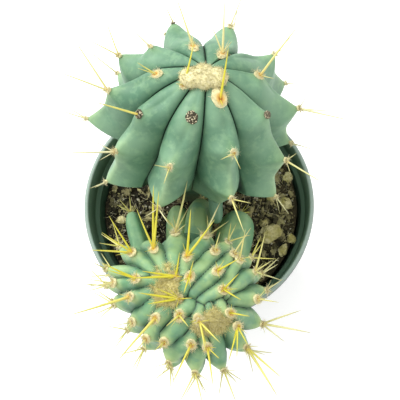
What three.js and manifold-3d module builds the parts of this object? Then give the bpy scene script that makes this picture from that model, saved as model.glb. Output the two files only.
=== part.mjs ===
// A blue barrel cactus and its crested offshoot, growing side by side in a round nursery pot.
// Millimetres, +Z up. The origin is the middle of the pot's base, +Y is the barrel's side of the
// pot and -Y the crested side.
import * as THREE from "three";
import { mergeVertices } from "three/addons/utils/BufferGeometryUtils.js";
import Module from "manifold-3d";

const wasm = await Module();
wasm.setup();

// Pot
const POT_HEIGHT = 90;
const RIM_RADIUS = 54;
const RIM_LIP = 2;
const RIM_INNER_RADIUS = 50.9;
const RIM_DEPTH = 5.8;
const BASE_RADIUS = 38;
const POT_WALL = 1.4;
const FLOOR_THICKNESS = 1.6;
const LEDGE_HEIGHT = 77;
const LEDGE_STEP = 1.9;
const POT_SIDES = 52;
const DRAIN_HOLES = 8;
const DRAIN_RADIUS = 3.5;
const DRAIN_CIRCLE = 27;

// Soil: its level at the pot's middle, how much the right side is heaped over the left, its lumps
const SOIL_LEVEL = 75.5;
const SOIL_HEAP = 2.6;
const SOIL_LUMP = 0.9;
const SOIL_SIDES = 32;
const SOIL_RINGS = 6;
const FIT_GAP = 0.35;

// Barrel: its middle, the slope of its axis to the right and to the back, its radius at the rib
// tips, the heights of its dome and its underside against that radius, the most that its furrows
// cut in and how steep they may be by the crown and lower down, how far the ridge dips between two
// areoles, how far the foot of a rib draws in, over how many degrees, and the share of their depth
// that all furrows lose under the barrel
const BARREL_MIDDLE = new THREE.Vector3(0.6, 28.7, 120);
const BARREL_LEAN = new THREE.Vector3(0.167, 0.246, 1);
const BARREL_RADIUS = 48;
const BARREL_DOME = 0.9;
const BARREL_UNDERSIDE = 0.58;
const BARREL_FURROW = 27;
const UNDERSIDE_FILL = 0.6;
const CROWN_SLOPE = 0.85;
const FURROW_SLOPE = 1.4;
const BARREL_TOOTH = 4.8;
const BARREL_HEEL = 5;
const HEEL_SPAN = 25;
const LONE_SADDLE = 13;
const BARREL_STEM_RADIUS = 19;
const BARREL_STEM_FOOT = new THREE.Vector3(0, 20, 58);

// Crest: its middle, its half sizes to the side, front, back, up and down, how much it widens
// towards the back and how far its back is set to the left
const CREST_MIDDLE = new THREE.Vector3(-3, -47, 110.5);
const CREST_SIDE = 34;
const CREST_FRONT = 33.5;
const CREST_BACK = 30;
const CREST_TOP = 29;
const CREST_UNDERSIDE = 17.5;
const CREST_WIDENING = 0.2;
const CREST_SKEW = 6;
const CREST_DETAIL = 14;
const CREST_FURROW = 6.5;
const CREST_STEEPNESS = 0.85;
const CREST_TUBERCLE = 2.8;
const CREST_TUBERCLE_SPREAD = 4;
const CREST_RIDGE_END = 140;
const CREST_STEM_FOOT = new THREE.Vector3(-3, -25, 58);
const CREST_STEM_HEAD = new THREE.Vector3(-4, -33, 104);
const CREST_STEM_RADIUS = 16;

// Spines: the shortest one, the least rise over the flesh, how deep the root is sunk, and how often
// and how far one may be bent up to pass a neighbour
const SPINE_RADIUS = 0.7;
const SPINE_SIDES = 3;
const SHORTEST_SPINE = 9;
const LEAST_SLOPE = 0.35;
const SPINE_ROOT = 3.5;
const SPINE_BENDS = 6;
const SPINE_BEND = 0.22;
const PAD_RADIUS = 2.1;
const PAD_SINK = 0.7;
const HIDDEN_SPINE = 15;

// The barrel's ribs, in turn about its axis: the rib's azimuth in degrees, how much narrower than
// its share it is, the polar angle at which its foot draws in, by what share the furrow after it is
// filled low down, and its areoles from the crown down, each as its polar angle, how far the ridge is
// bent aside there, and its spines. A spine is how far it reaches to the right and to the back, as
// seen from above.
const BARREL_RIBS = [
  {
    ridge: 249,
    narrow: 1,
    foot: 82,
    fill: 0,
    areoles: [[26, 5], [53, 0, [-5, -1], [-2, -8]], [81, 0, [-1, 6], [5, -8], [-5, -5]]],
  },
  {
    ridge: 287,
    narrow: 1,
    foot: 70,
    fill: 0.55,
    areoles: [[16, 6, [4, 18]], [44, 3, [-5, -4]], [70, -1, [8, -3], [5, -16]]],
  },
  {
    ridge: 321,
    narrow: 1,
    foot: 97,
    fill: 0,
    areoles: [[38, 9], [67, 3, [14, -12], [4, 1]], [97, -4, [5, -9]]],
  },
  {
    ridge: 352,
    narrow: 1,
    foot: 62,
    fill: 0,
    areoles: [[28, 12, [15, 17]], [62, 5, [13, -4], [20, -9], [3, 3]], [86, -4, [9, -4]]],
  },
  { ridge: 26, narrow: 1.1, foot: 85, fill: 0, areoles: [[54, 8, [7, 6]], [88, 3, [8, 2]]] },
  {
    ridge: 67,
    narrow: 1.3,
    foot: 45,
    fill: 0,
    areoles: [[13, -16, [2, 20], [-4, 10], [4, 2]], [45, 1, [6, 12]], [74, 0, [3, 14]]],
  },
  {
    ridge: 112,
    narrow: 1.35,
    foot: 50,
    fill: 0,
    areoles: [[15, 0, [-6, 17]], [46, -2, [-3, 5]], [70, -3, [6, 10]]],
  },
  {
    ridge: 153,
    narrow: 1,
    foot: 56,
    fill: 0,
    areoles: [[34, -8, [-7, 6]], [54, 0, [-5, 13], [-12, 5]], [88, -9, [-12, 8]]],
  },
  {
    ridge: 183,
    narrow: 1,
    foot: 86,
    fill: 0,
    areoles: [[24, -1, [-7, 3]], [54, -3, [-12, 18], [-18, 5]], [86, -3, [-7, 4], [-11, 2]]],
  },
  {
    ridge: 214,
    narrow: 1,
    foot: 98,
    fill: 0.5,
    areoles: [[13, 5, [5, 15]], [40, -3, [-16, 3]], [65, 1, [-19, -3], [-7, 3]], [98, 1, [-6, -4]]],
  },
];

// The crest's ribs, from its growing line outwards: the stations of the ridge as azimuth and polar
// angle in degrees about the crest's middle. A third entry marks an areole and lists its spines.
// The last number is how far down the ridge runs on the side that faces away.
const CREST_RIBS = [
  { ridge: [[125, 20], [112, 41, [[-7, 15], [1, 12], [0, 24], [3, 22]]]], down: 60 },
  { ridge: [[104, 21], [89, 62, [[7, 21], [5, 15], [5, 2]]]], down: 96 },
  { ridge: [[84, 17], [77, 30, [[2, 18], [12, 13]]], [69, 65, [[8, 14]]]], down: 96 },
  { ridge: [[45, 2], [61, 12, [[2, 6], [-2, -7]]], [54, 46, [[2, 7]]]], down: 92 },
  { ridge: [[350, 7], [33, 31, [[9, 4]]], [42, 58, [[7, 10]]]], down: 60 },
  { ridge: [[330, 16], [2, 29, [[7, -5], [6, 6]]], [17, 40], [35, 57, [[3, 12]]]], down: 96 },
  { ridge: [[359, 35], [11, 49], [21, 67, [[5, 15], [7, 4], [4, -3]]]], down: 110 },
  { ridge: [[352, 42], [356, 62, [[9, -2]]], [6, 86, [[7, 4]]]], down: 112 },
  { ridge: [[334, 37, [[8, -2]]], [338, 55], [340, 85, [[20, -4], [16, 5], [9, -8]]]], down: 112 },
  { ridge: [[326, 48, [[-3, -15], [0, -13], [4, -8]]], [318, 73, [[14, -13], [13, -20]]]], down: 112 },
  { ridge: [[329, 21], [314, 25]], down: 0 },
  { ridge: [[340, 30], [330, 35]], down: 0 },
  { ridge: [[313, 17], [290, 22, [[3, -11]]], [281, 32], [285, 44, [[3, -15], [5, -5]]]], down: 0 },
  { ridge: [[276, 56], [265, 73, [[-5, -12], [4, -12]]]], down: 112 },
  { ridge: [[290, 11], [250, 19, [[-5, -5], [4, -5]]]], down: 0 },
  { ridge: [[265, 25], [246, 35], [236, 47, [[-3, -4]]]], down: 0 },
  { ridge: [[276, 33], [267, 40, [[-7, -15]]], [242, 71, [[0, -4]]]], down: 112 },
  { ridge: [[297, 41], [296, 57], [291, 81, [[5, -13]]]], down: 112 },
  { ridge: [[216, 21], [217, 33, [[-14, -17]]], [220, 59, [[-5, -7]]]], down: 112 },
  { ridge: [[197, 29], [205, 41], [204, 58, [[-5, -2], [-2, -4]]]], down: 112 },
  { ridge: [[181, 29], [184, 44, [[-22, -9]]]], down: 112 },
  { ridge: [[155, 25], [161, 35, [[-13, 5], [-11, 3]]], [169, 60, [[-10, 1], [-10, -2]]]], down: 112 },
  { ridge: [[137, 31], [131, 50, [[-9, 14], [-12, 7], [-17, 0]]]], down: 104 },
  { ridge: [[151, 33], [155, 83, [[-5, 2]]]], down: 112 },
];
const AREOLE_STEP = 28;

// Fingers of flesh: where each starts, where its blunt tip is, its half width and half height, and
// the spines at its tip. One hangs from the barrel's foot, and the others are the low ribs of the
// crest's own stem, at its back.
const LOBE_BLUNTNESS = 3;
const BARREL_LOBE = { root: [8.5, 4, 114], tip: [9.4, -12, 107], width: 3, height: 6 };
const LOBES = [
  { root: [-21, -36, 98], tip: [-30.3, -6.5, 96], width: 4.4, height: 8, spines: [[-5, 5], [0, 6], [-5, 1]] },
  { root: [-8, -32, 96], tip: [-9.5, -3, 91], width: 5.6, height: 8 },
  { root: [-2, -32, 98], tip: [2, -1, 97], width: 6.2, height: 9, spines: [[3, -3]] },
  { root: [13, -34, 98], tip: [19.5, -7, 95], width: 8.2, height: 10.5, spines: [[5, 2]] },
];

// Wool: its middle on the head as azimuth and polar angle, its half sizes, and its lumps
const CROWN_WOOL = { azimuth: 250, polar: 5, length: 8.8, width: 5.6, height: 3.2 };
const CREST_WOOL = [
  { name: "crest_wool_left", azimuth: 159, polar: 15, length: 8.5, width: 7, turn: 95 },
  { name: "crest_wool_front", azimuth: 310, polar: 32, length: 7.6, width: 5.2, turn: 10 },
];

// Stones on the soil: place seen from above, half sizes and turn. They are sunk a little way in.
const STONES = [
  { at: [33, -13], size: [6.8, 4.4, 2], turn: 35 },
  { at: [30.8, -7.2], size: [2.1, 1.9, 1.6], turn: 0 },
  { at: [43.6, -15.4], size: [2.2, 2.3, 1.7], turn: 20 },
  { at: [39.6, -20.6], size: [3, 2, 1.6], turn: 60 },
  { at: [41.2, 2.2], size: [2.6, 3.1, 1.8], turn: 10 },
  { at: [42.2, 14.4], size: [3, 2.4, 1.8], turn: 75 },
  { at: [34.5, 4.8], size: [2.4, 2, 1.5], turn: 130 },
  { at: [-38.4, -4.5], size: [2.6, 2, 1.5], turn: 15 },
  { at: [-34, 22.5], size: [3.2, 2.3, 1.8], turn: 100 },
  { at: [12, -41], size: [2.8, 2.1, 1.6], turn: 45 },
];

const STONE_RISE = 0.35;

const COLOURS = {
  pot: 0x35503f,
  soil: 0x3a2f26,
  flesh: 0x6f9f86,
  wool: 0xe6d9ae,
  stone: 0x9c8a6c,
};

const radians = THREE.MathUtils.degToRad;
const smooth = THREE.MathUtils.smoothstep;
const UP = new THREE.Vector3(0, 0, 1);
const BACK = new THREE.Vector3(0, 1, 0);

// A closed geometry as a solid, and a solid back as geometry
function solid(geometry) {
  const bare = new THREE.BufferGeometry();
  bare.setAttribute("position", geometry.getAttribute("position").clone());
  if (geometry.index) bare.setIndex(geometry.index.clone());
  const merged = mergeVertices(bare, 1e-4);
  return new wasm.Manifold(
    new wasm.Mesh({
      numProp: 3,
      vertProperties: merged.attributes.position.array,
      triVerts: new Uint32Array(merged.index.array),
    }),
  );
}

function geometryOf(body) {
  const mesh = body.getMesh();
  const geometry = new THREE.BufferGeometry();
  geometry.setAttribute("position", new THREE.BufferAttribute(mesh.vertProperties, 3));
  geometry.setIndex(new THREE.BufferAttribute(mesh.triVerts, 1));
  geometry.computeVertexNormals();
  return geometry;
}

// Moves each vertex of a geometry to where place(vertex) says
function shaped(geometry, place) {
  const positions = geometry.getAttribute("position");
  for (let i = 0; i < positions.count; i++) {
    const point = place(new THREE.Vector3().fromBufferAttribute(positions, i));
    positions.setXYZ(i, point.x, point.y, point.z);
  }
  return geometry;
}

// A lathe stands on Z instead of Y
function lathe(profile, sides) {
  const points = profile.map(([radius, height]) => new THREE.Vector2(radius, height));
  return new THREE.LatheGeometry(points, sides).rotateX(Math.PI / 2);
}

// A round bar from one point to another
function bar(from, to, fromRadius, toRadius, sides) {
  const along = to.clone().sub(from);
  const middle = from.clone().add(to).multiplyScalar(0.5);
  const turn = new THREE.Quaternion().setFromUnitVectors(BACK, along.clone().normalize());
  return new THREE.CylinderGeometry(toRadius, fromRadius, along.length(), sides)
    .applyQuaternion(turn)
    .translate(middle.x, middle.y, middle.z);
}

// An even, repeatable scatter between -1 and 1
function scatter(seed) {
  const wave = Math.sin(seed * 12.9898 + 4.1414) * 43758.5453;
  return 2 * (wave - Math.floor(wave)) - 1;
}

// Pot
function pot() {
  const top = POT_HEIGHT;
  const skirt = top - RIM_DEPTH;
  const lip = RIM_RADIUS - RIM_LIP;
  const body = solid(
    lathe(
      [
        [0, 0],
        [BASE_RADIUS - 1.5, 0],
        [BASE_RADIUS, 1.5],
        [RIM_INNER_RADIUS - 1, LEDGE_HEIGHT],
        [RIM_INNER_RADIUS - 1 + LEDGE_STEP, LEDGE_HEIGHT + 2],
        [RIM_INNER_RADIUS + 1.6, skirt],
        [RIM_RADIUS - 0.6, skirt],
        [RIM_RADIUS, skirt + 0.8],
        [RIM_RADIUS, top - 0.8],
        [RIM_RADIUS - 0.7, top],
        [lip + 0.5, top],
        [lip, top - 0.5],
        [RIM_INNER_RADIUS - 0.5, LEDGE_HEIGHT + 2.4],
        [RIM_INNER_RADIUS - 1 - POT_WALL, LEDGE_HEIGHT + 0.6],
        [BASE_RADIUS - POT_WALL, FLOOR_THICKNESS + 0.4],
        [BASE_RADIUS - POT_WALL - 0.6, FLOOR_THICKNESS],
        [0, FLOOR_THICKNESS],
      ],
      POT_SIDES,
    ),
  );
  let drilled = body;
  for (let i = 0; i < DRAIN_HOLES; i++) {
    const angle = (2 * Math.PI * (i + 0.5)) / DRAIN_HOLES;
    const foot = new THREE.Vector3(DRAIN_CIRCLE * Math.cos(angle), DRAIN_CIRCLE * Math.sin(angle), -1);
    const head = foot.clone().setZ(FLOOR_THICKNESS + 1);
    drilled = drilled.subtract(solid(bar(foot, head, DRAIN_RADIUS, DRAIN_RADIUS, 10)));
  }
  return drilled;
}

// Soil
function soilHeight(x, y) {
  const heap = (SOIL_HEAP * x) / RIM_INNER_RADIUS;
  const lumps = Math.sin(x * 0.41 + 1.3) * Math.cos(y * 0.37 - 0.6) + 0.6 * Math.sin(x * 0.83 - y * 0.71);
  return SOIL_LEVEL + heap + SOIL_LUMP * lumps;
}

function soilBody() {
  const edge = RIM_INNER_RADIUS - 1 - POT_WALL - 2 * FIT_GAP;
  const foot = FLOOR_THICKNESS + FIT_GAP;
  const footRadius = BASE_RADIUS - POT_WALL - 2.5 * FIT_GAP;
  const slope = (edge - footRadius) / LEDGE_HEIGHT;
  const profile = [
    [0, foot],
    [footRadius, foot],
    [footRadius + slope * (SOIL_LEVEL - SOIL_HEAP - 4), SOIL_LEVEL - SOIL_HEAP - 4],
  ];
  const topRadius = footRadius + slope * (SOIL_LEVEL - SOIL_HEAP - 3) - 0.2;
  for (let ring = 0; ring < SOIL_RINGS; ring++) {
    profile.push([topRadius * (1 - ring / SOIL_RINGS), SOIL_LEVEL]);
  }
  profile.push([0, SOIL_LEVEL]);
  return shaped(lathe(profile, SOIL_SIDES), (point) => {
    if (point.z > SOIL_LEVEL - 0.5) point.z = soilHeight(point.x, point.y);
    return point;
  });
}

// Barrel head
const barrelAxis = BARREL_LEAN.clone().normalize();
const barrelSide = BACK.clone().cross(barrelAxis).normalize();
const barrelBack = barrelAxis.clone().cross(barrelSide);

// How far the polar angle is from the nearest areole of a rib: 0 on it, 1 at the saddle between two
function saddle(polar, areoles) {
  let nearest = 1;
  areoles.forEach((areole, i) => {
    const neighbour = polar < areole ? areoles[i - 1] : areoles[i + 1];
    const half = neighbour === undefined ? LONE_SADDLE : Math.abs(neighbour - areole) / 2;
    nearest = Math.min(nearest, Math.abs(polar - areole) / half);
  });
  return nearest;
}

// A rib's height over the furrow, from 1 on the ridge to 0 in the furrow: broad near the crown,
// and a steep wedge lower down
function barrelFlank(across, polar) {
  const wedge = smooth(polar, 12, 68);
  const bulge = THREE.MathUtils.lerp(2.3, 1.1, wedge);
  const edge = THREE.MathUtils.lerp(0.64, 0.82, wedge);
  return (1 - across ** bulge) ** edge;
}

// How far a ridge is bent aside at a polar angle, from one areole to the next
function ridgeBend(polar, areoles) {
  const after = areoles.findIndex(([angle]) => angle > polar);
  if (after === 0) return areoles[0][1];
  if (after < 0) return areoles[areoles.length - 1][1];
  const [from, bend] = areoles[after - 1];
  const [to, nextBend] = areoles[after];
  return THREE.MathUtils.mapLinear(polar, from, to, bend, nextBend);
}

function barrelPoint(azimuth, polar) {
  const turn = ((azimuth % 360) + 360) % 360;
  let rib = BARREL_RIBS[0];
  let share = 1;
  let halfGap = 0;
  let fill = 0;
  BARREL_RIBS.forEach((each, i) => {
    const offset = ((turn - each.ridge + 540) % 360) - 180;
    const next = BARREL_RIBS[(i + (offset < 0 ? BARREL_RIBS.length - 1 : 1)) % BARREL_RIBS.length];
    const gap = Math.abs(((next.ridge - each.ridge + 540) % 360) - 180);
    if (Math.abs(offset) <= gap / 2 + 1e-6) {
      rib = each;
      halfGap = gap / 2;
      share = Math.min(1, Math.abs(offset) / halfGap);
      fill = offset < 0 ? next.fill : each.fill;
    }
  });
  const across = Math.min(1, share * THREE.MathUtils.lerp(1, rib.narrow, smooth(polar, 25, 55)));
  const flank = barrelFlank(across, polar);
  const tooth = BARREL_TOOTH * smooth(polar, 8, 40) * (1 - smooth(polar, 140, 170));
  const between = saddle(polar, rib.areoles.map(([angle]) => angle));
  const dip = tooth * (1 - (1 - between) ** 1.5) * (1 - across);
  const heel = BARREL_HEEL * smooth(polar, rib.foot, rib.foot + HEEL_SPAN);
  const halfWidth = BARREL_RADIUS * Math.sin(radians(polar)) * radians(halfGap);
  const slope = THREE.MathUtils.lerp(CROWN_SLOPE, FURROW_SLOPE, smooth(polar, 20, 60));
  const open = (1 - UNDERSIDE_FILL * smooth(polar, 100, 150)) * (1 - fill * smooth(polar, 65, 105));
  const depth = Math.min(BARREL_FURROW, slope * halfWidth) * open;
  const reach = BARREL_RADIUS - dip - heel - depth * (1 - flank);
  const aside = radians(turn + ridgeBend(polar, rib.areoles) * (1 - share));
  const stretch = THREE.MathUtils.lerp(BARREL_DOME, BARREL_UNDERSIDE, smooth(polar, 65, 115));
  const height = Math.cos(radians(polar)) * stretch;
  const radius = Math.sin(radians(polar));
  return BARREL_MIDDLE.clone()
    .addScaledVector(barrelSide, reach * radius * Math.cos(aside))
    .addScaledVector(barrelBack, reach * radius * Math.sin(aside))
    .addScaledVector(barrelAxis, reach * height);
}

// Columns of the mesh between one ridge and the next, as shares of the way
const RIB_COLUMNS = [0, 0.18, 0.37, 0.5, 0.63, 0.82, 1];
const BARREL_ROWS = 24;

// Columns are spread so that each ridge and each furrow has one
function barrelBody() {
  const count = BARREL_RIBS.length;
  const columns = RIB_COLUMNS.length - 1;
  return shaped(new THREE.SphereGeometry(1, columns * count, BARREL_ROWS), (direction) => {
    const polar = THREE.MathUtils.radToDeg(Math.acos(THREE.MathUtils.clamp(direction.y, -1, 1)));
    const share = (Math.atan2(-direction.z, direction.x) / (2 * Math.PI) + 1) % 1;
    const column = Math.round(share * columns * count) % (columns * count);
    const rib = Math.floor(column / columns);
    const from = BARREL_RIBS[rib].ridge;
    const gap = (BARREL_RIBS[(rib + 1) % count].ridge - from + 360) % 360;
    return barrelPoint(from + gap * RIB_COLUMNS[column % columns], polar);
  });
}

// Crest head
function unitDirection(azimuth, polar) {
  return new THREE.Vector3(
    Math.sin(radians(polar)) * Math.cos(radians(azimuth)),
    Math.sin(radians(polar)) * Math.sin(radians(azimuth)),
    Math.cos(radians(polar)),
  );
}

// Each ridge as points on the unit sphere, with its areoles, carried on down where it says
const crestRidges = CREST_RIBS.map(({ ridge, down }) => {
  const points = ridge.map(([azimuth, polar]) => unitDirection(azimuth, polar));
  const areoles = ridge
    .filter((station) => station[2])
    .map(([azimuth, polar, spines]) => ({ direction: unitDirection(azimuth, polar), spines }));
  const [azimuth, last] = ridge[ridge.length - 1];
  for (let polar = last + AREOLE_STEP; polar <= down; polar += AREOLE_STEP) {
    points.push(unitDirection(azimuth, polar));
    areoles.push({ direction: unitDirection(azimuth, polar), spines: [] });
  }
  if (down > last) points.push(unitDirection(azimuth, CREST_RIDGE_END));
  return { points, areoles };
});

function distanceToRidge(direction, points) {
  let nearest = Infinity;
  const closest = new THREE.Vector3();
  for (let i = 1; i < points.length; i++) {
    new THREE.Line3(points[i - 1], points[i]).closestPointToPoint(direction, true, closest);
    nearest = Math.min(nearest, closest.normalize().distanceTo(direction));
  }
  return nearest;
}

function crestPoint(direction) {
  const distances = crestRidges.map(({ points }) => distanceToRidge(direction, points));
  distances.sort((a, b) => a - b);
  const across = (2 * distances[0]) / (distances[0] + distances[1]);
  const halfWidth = ((distances[0] + distances[1]) / 2) * CREST_SIDE;
  const under = 1 - smooth(-direction.z, 0.45, 0.85);
  const flank = Math.sqrt(1 - Math.min(1, across) ** 1.6);
  const depth = Math.min(CREST_FURROW, halfWidth * CREST_STEEPNESS) * (1 - flank) * under;
  let bump = 0;
  crestRidges.forEach(({ areoles }) =>
    areoles.forEach((areole) => {
      const away = areole.direction.distanceTo(direction) * CREST_SIDE;
      bump = Math.max(bump, CREST_TUBERCLE * Math.exp(-((away / CREST_TUBERCLE_SPREAD) ** 2)));
    }),
  );
  const scale = 1 - (depth + (CREST_TUBERCLE - bump) * under) / CREST_SIDE;
  return new THREE.Vector3(
    direction.x * CREST_SIDE * (1 + CREST_WIDENING * direction.y) - CREST_SKEW * direction.y,
    direction.y * (direction.y < 0 ? CREST_FRONT : CREST_BACK),
    direction.z * (direction.z < 0 ? CREST_UNDERSIDE : CREST_TOP),
  )
    .multiplyScalar(scale)
    .add(CREST_MIDDLE);
}

// A spine leans as it is seen from above, and rises so that it stands clear of the flesh
function spineDirection([right, back], normal) {
  const plan = Math.hypot(right, back);
  const length = Math.max(SHORTEST_SPINE, plan * 1.12);
  const rise = Math.sqrt(Math.max(0, length * length - plan * plan)) * (normal.z < -0.1 ? -1 : 1);
  const direction = new THREE.Vector3(right, back, rise);
  const slope = direction.dot(normal) / length;
  if (slope < LEAST_SLOPE) direction.addScaledVector(normal, (LEAST_SLOPE - slope) * length);
  return direction.setLength(length);
}

function spineBetween(root, direction, extra) {
  const start = root.clone().addScaledVector(direction.clone().normalize(), -SPINE_ROOT);
  const end = root.clone().add(direction).addScaledVector(direction.clone().normalize(), extra);
  return solid(bar(start, end, SPINE_RADIUS + extra, extra, SPINE_SIDES));
}

// A spine that would cross a neighbour is bent up until it is clear, or left out
function clearSpine(root, direction, neighbours) {
  const length = direction.length();
  for (let bend = 0; bend < SPINE_BENDS; bend++) {
    const bent = direction.clone().addScaledVector(UP, SPINE_BEND * bend * length).setLength(length);
    const room = spineBetween(root, bent, FIT_GAP);
    if (neighbours.every((neighbour) => room.intersect(neighbour).isEmpty())) {
      return spineBetween(root, bent, 0);
    }
  }
  return null;
}

function pad(place, normal) {
  const turn = new THREE.Quaternion().setFromUnitVectors(UP, normal);
  return solid(
    new THREE.OctahedronGeometry(PAD_RADIUS)
      .scale(1, 1, 0.8)
      .translate(0, 0, -PAD_SINK)
      .applyQuaternion(turn)
      .translate(place.x, place.y, place.z),
  );
}

function spinesAt(place, normal, spines, neighbours) {
  const directions = spines.length
    ? spines.map((spine) => spineDirection(spine, normal))
    : [normal.clone().setZ(normal.z + 0.25).setLength(HIDDEN_SPINE)];
  return directions.map((direction) => clearSpine(place, direction, neighbours)).filter((spine) => spine);
}

function joined(bodies) {
  return bodies.reduce((whole, body) => whole.add(body));
}

const barrelAreoles = BARREL_RIBS.flatMap(({ ridge, areoles }) =>
  areoles.map(([polar, , ...spines]) => {
    const place = barrelPoint(ridge, polar);
    const normal = place.clone().sub(BARREL_MIDDLE).normalize();
    return { place, normal, spines };
  }),
);

function crestAreoles(neighbours) {
  return crestRidges.flatMap(({ areoles }) =>
    areoles.flatMap(({ direction, spines }) => {
      const place = crestPoint(direction);
      const normal = place.clone().sub(CREST_MIDDLE).normalize();
      return spinesAt(place, normal, spines, neighbours);
    }),
  );
}

const barrelStem = (extra) =>
  solid(bar(BARREL_STEM_FOOT, BARREL_MIDDLE, BARREL_STEM_RADIUS + extra, BARREL_STEM_RADIUS + extra, 30));
const crestStem = (extra) =>
  solid(bar(CREST_STEM_FOOT, CREST_STEM_HEAD, CREST_STEM_RADIUS + extra, CREST_STEM_RADIUS + extra, 26));

// A finger is a sphere with its girth kept up towards both ends, laid along its line
function lobe({ root, tip, width, height }) {
  const from = new THREE.Vector3(...root);
  const to = new THREE.Vector3(...tip);
  const along = to.clone().sub(from);
  const middle = from.clone().add(to).multiplyScalar(0.5);
  const turn = new THREE.Quaternion().setFromUnitVectors(BACK, along.clone().normalize());
  const finger = shaped(new THREE.SphereGeometry(1, 12, 10), (point) => {
    const round = Math.hypot(point.x, point.z);
    if (round < 1e-6) return point;
    const girth = (1 - Math.abs(point.y) ** LOBE_BLUNTNESS) ** (1 / LOBE_BLUNTNESS);
    return point.set((point.x / round) * girth, point.y, (point.z / round) * girth);
  });
  return solid(
    finger
      .scale(width, along.length() / 2 + 1, height)
      .applyQuaternion(turn)
      .translate(middle.x, middle.y, middle.z),
  );
}

function lobeAreole({ root, tip, spines }, neighbours) {
  const place = new THREE.Vector3(...tip);
  const normal = place.clone().sub(new THREE.Vector3(...root)).normalize();
  return spinesAt(place, normal, spines, neighbours);
}

// Stones: a rough ball with its corners pushed in and out
function stone({ at: [x, y], size, turn }, index) {
  const ball = new THREE.IcosahedronGeometry(1, 1);
  const rough = shaped(ball, (corner) => {
    const seed = index * 7 + Math.round(corner.x * 31 + corner.y * 57 + corner.z * 83);
    return corner.multiplyScalar(1 + 0.14 * scatter(seed));
  });
  return solid(
    rough
      .scale(...size)
      .rotateZ(radians(turn))
      .translate(x, y, soilHeight(x, y) + size[2] * STONE_RISE),
  );
}

// A lump of wool that lies on a head, made of a few rounded tufts
function woolOn(surface, { azimuth, polar, length, width, height = 3, turn = 0 }, middle) {
  const centre = surface(azimuth, polar);
  const normal = centre.clone().sub(middle).normalize();
  const along = new THREE.Vector3(Math.cos(radians(turn)), Math.sin(radians(turn)), 0);
  along.addScaledVector(normal, -along.dot(normal)).normalize();
  const side = normal.clone().cross(along);
  const basis = new THREE.Matrix4().makeBasis(along, side, normal).setPosition(centre);
  const tufts = [-0.55, 0, 0.55].map((step, i) =>
    new THREE.SphereGeometry(1, 9, 5)
      .scale(length * 0.55, width * (i === 1 ? 1 : 0.82), height * (i === 1 ? 1 : 0.85))
      .translate(step * length, width * 0.12 * scatter(i + length), 0),
  );
  return joined(tufts.map((tuft) => solid(tuft.applyMatrix4(basis))));
}

// A head grown a little about its middle, to leave a gap for what lies on it
function grown(body, middle, reach) {
  const factor = 1 + FIT_GAP / reach;
  return body
    .translate(-middle.x, -middle.y, -middle.z)
    .scale(factor)
    .translate(middle.x, middle.y, middle.z);
}

function largest(body) {
  return body.decompose().reduce((most, piece) => (piece.volume() > most.volume() ? piece : most));
}

const potSolid = pot();
const stones = STONES.map(stone);
const stoneRoom = STONES.map((spec, i) => {
  const size = spec.size.map((half) => half + FIT_GAP);
  return stone({ ...spec, size }, i);
});
let soilSolid = solid(soilBody());
[barrelStem(FIT_GAP), crestStem(FIT_GAP), ...stoneRoom].forEach((room) => {
  soilSolid = soilSolid.subtract(room);
});
soilSolid = largest(soilSolid);

const barrelFlesh = joined([
  solid(barrelBody()),
  barrelStem(0),
  lobe(BARREL_LOBE),
  ...barrelAreoles.map(({ place, normal }) => pad(place, normal)),
]);
const crestBall = new THREE.IcosahedronGeometry(1, CREST_DETAIL);
const crestFlesh = joined([
  solid(shaped(crestBall, (direction) => crestPoint(direction.normalize()))),
  crestStem(0),
  ...LOBES.map(lobe),
]);

const crestPolar = (azimuth, polar) => crestPoint(unitDirection(azimuth, polar));
const crownWool = largest(
  woolOn(barrelPoint, CROWN_WOOL, BARREL_MIDDLE).subtract(grown(barrelFlesh, BARREL_MIDDLE, 42)),
);
const crestWools = CREST_WOOL.map((wool) =>
  largest(woolOn(crestPolar, wool, CREST_MIDDLE).subtract(grown(crestFlesh, CREST_MIDDLE, 26))),
);

const ground = [potSolid, soilSolid, ...stones];
const barrelNeighbours = [...ground, crestFlesh, crownWool];
const barrelSolid = joined([
  barrelFlesh,
  ...barrelAreoles.flatMap(({ place, normal, spines }) => spinesAt(place, normal, spines, barrelNeighbours)),
]);
const crestNeighbours = [...ground, barrelSolid, ...crestWools];
const crestSolid = joined([
  crestFlesh,
  ...crestAreoles(crestNeighbours),
  ...LOBES.filter(({ spines }) => spines).flatMap((spec) => lobeAreole(spec, crestNeighbours)),
]);

const cactus = new THREE.Group();

function place(name, body, colour, roughness) {
  const material = new THREE.MeshStandardMaterial({ color: colour, roughness, metalness: 0 });
  const mesh = new THREE.Mesh(geometryOf(body), material);
  mesh.name = name;
  cactus.add(mesh);
}

place("pot", potSolid, COLOURS.pot, 0.5);
place("soil", soilSolid, COLOURS.soil, 0.95);
place("barrel_head", barrelSolid, COLOURS.flesh, 0.6);
place("crest_head", crestSolid, COLOURS.flesh, 0.6);
place("crown_wool", crownWool, COLOURS.wool, 0.95);
CREST_WOOL.forEach(({ name }, i) => place(name, crestWools[i], COLOURS.wool, 0.95));
stones.forEach((body, i) => place(`stone_${i + 1}`, body, COLOURS.stone, 0.9));

export default cactus;
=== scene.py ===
import math

import bmesh
import bpy
import numpy as np
from mathutils import Matrix, Vector, noise
from mathutils.bvhtree import BVHTree


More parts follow.
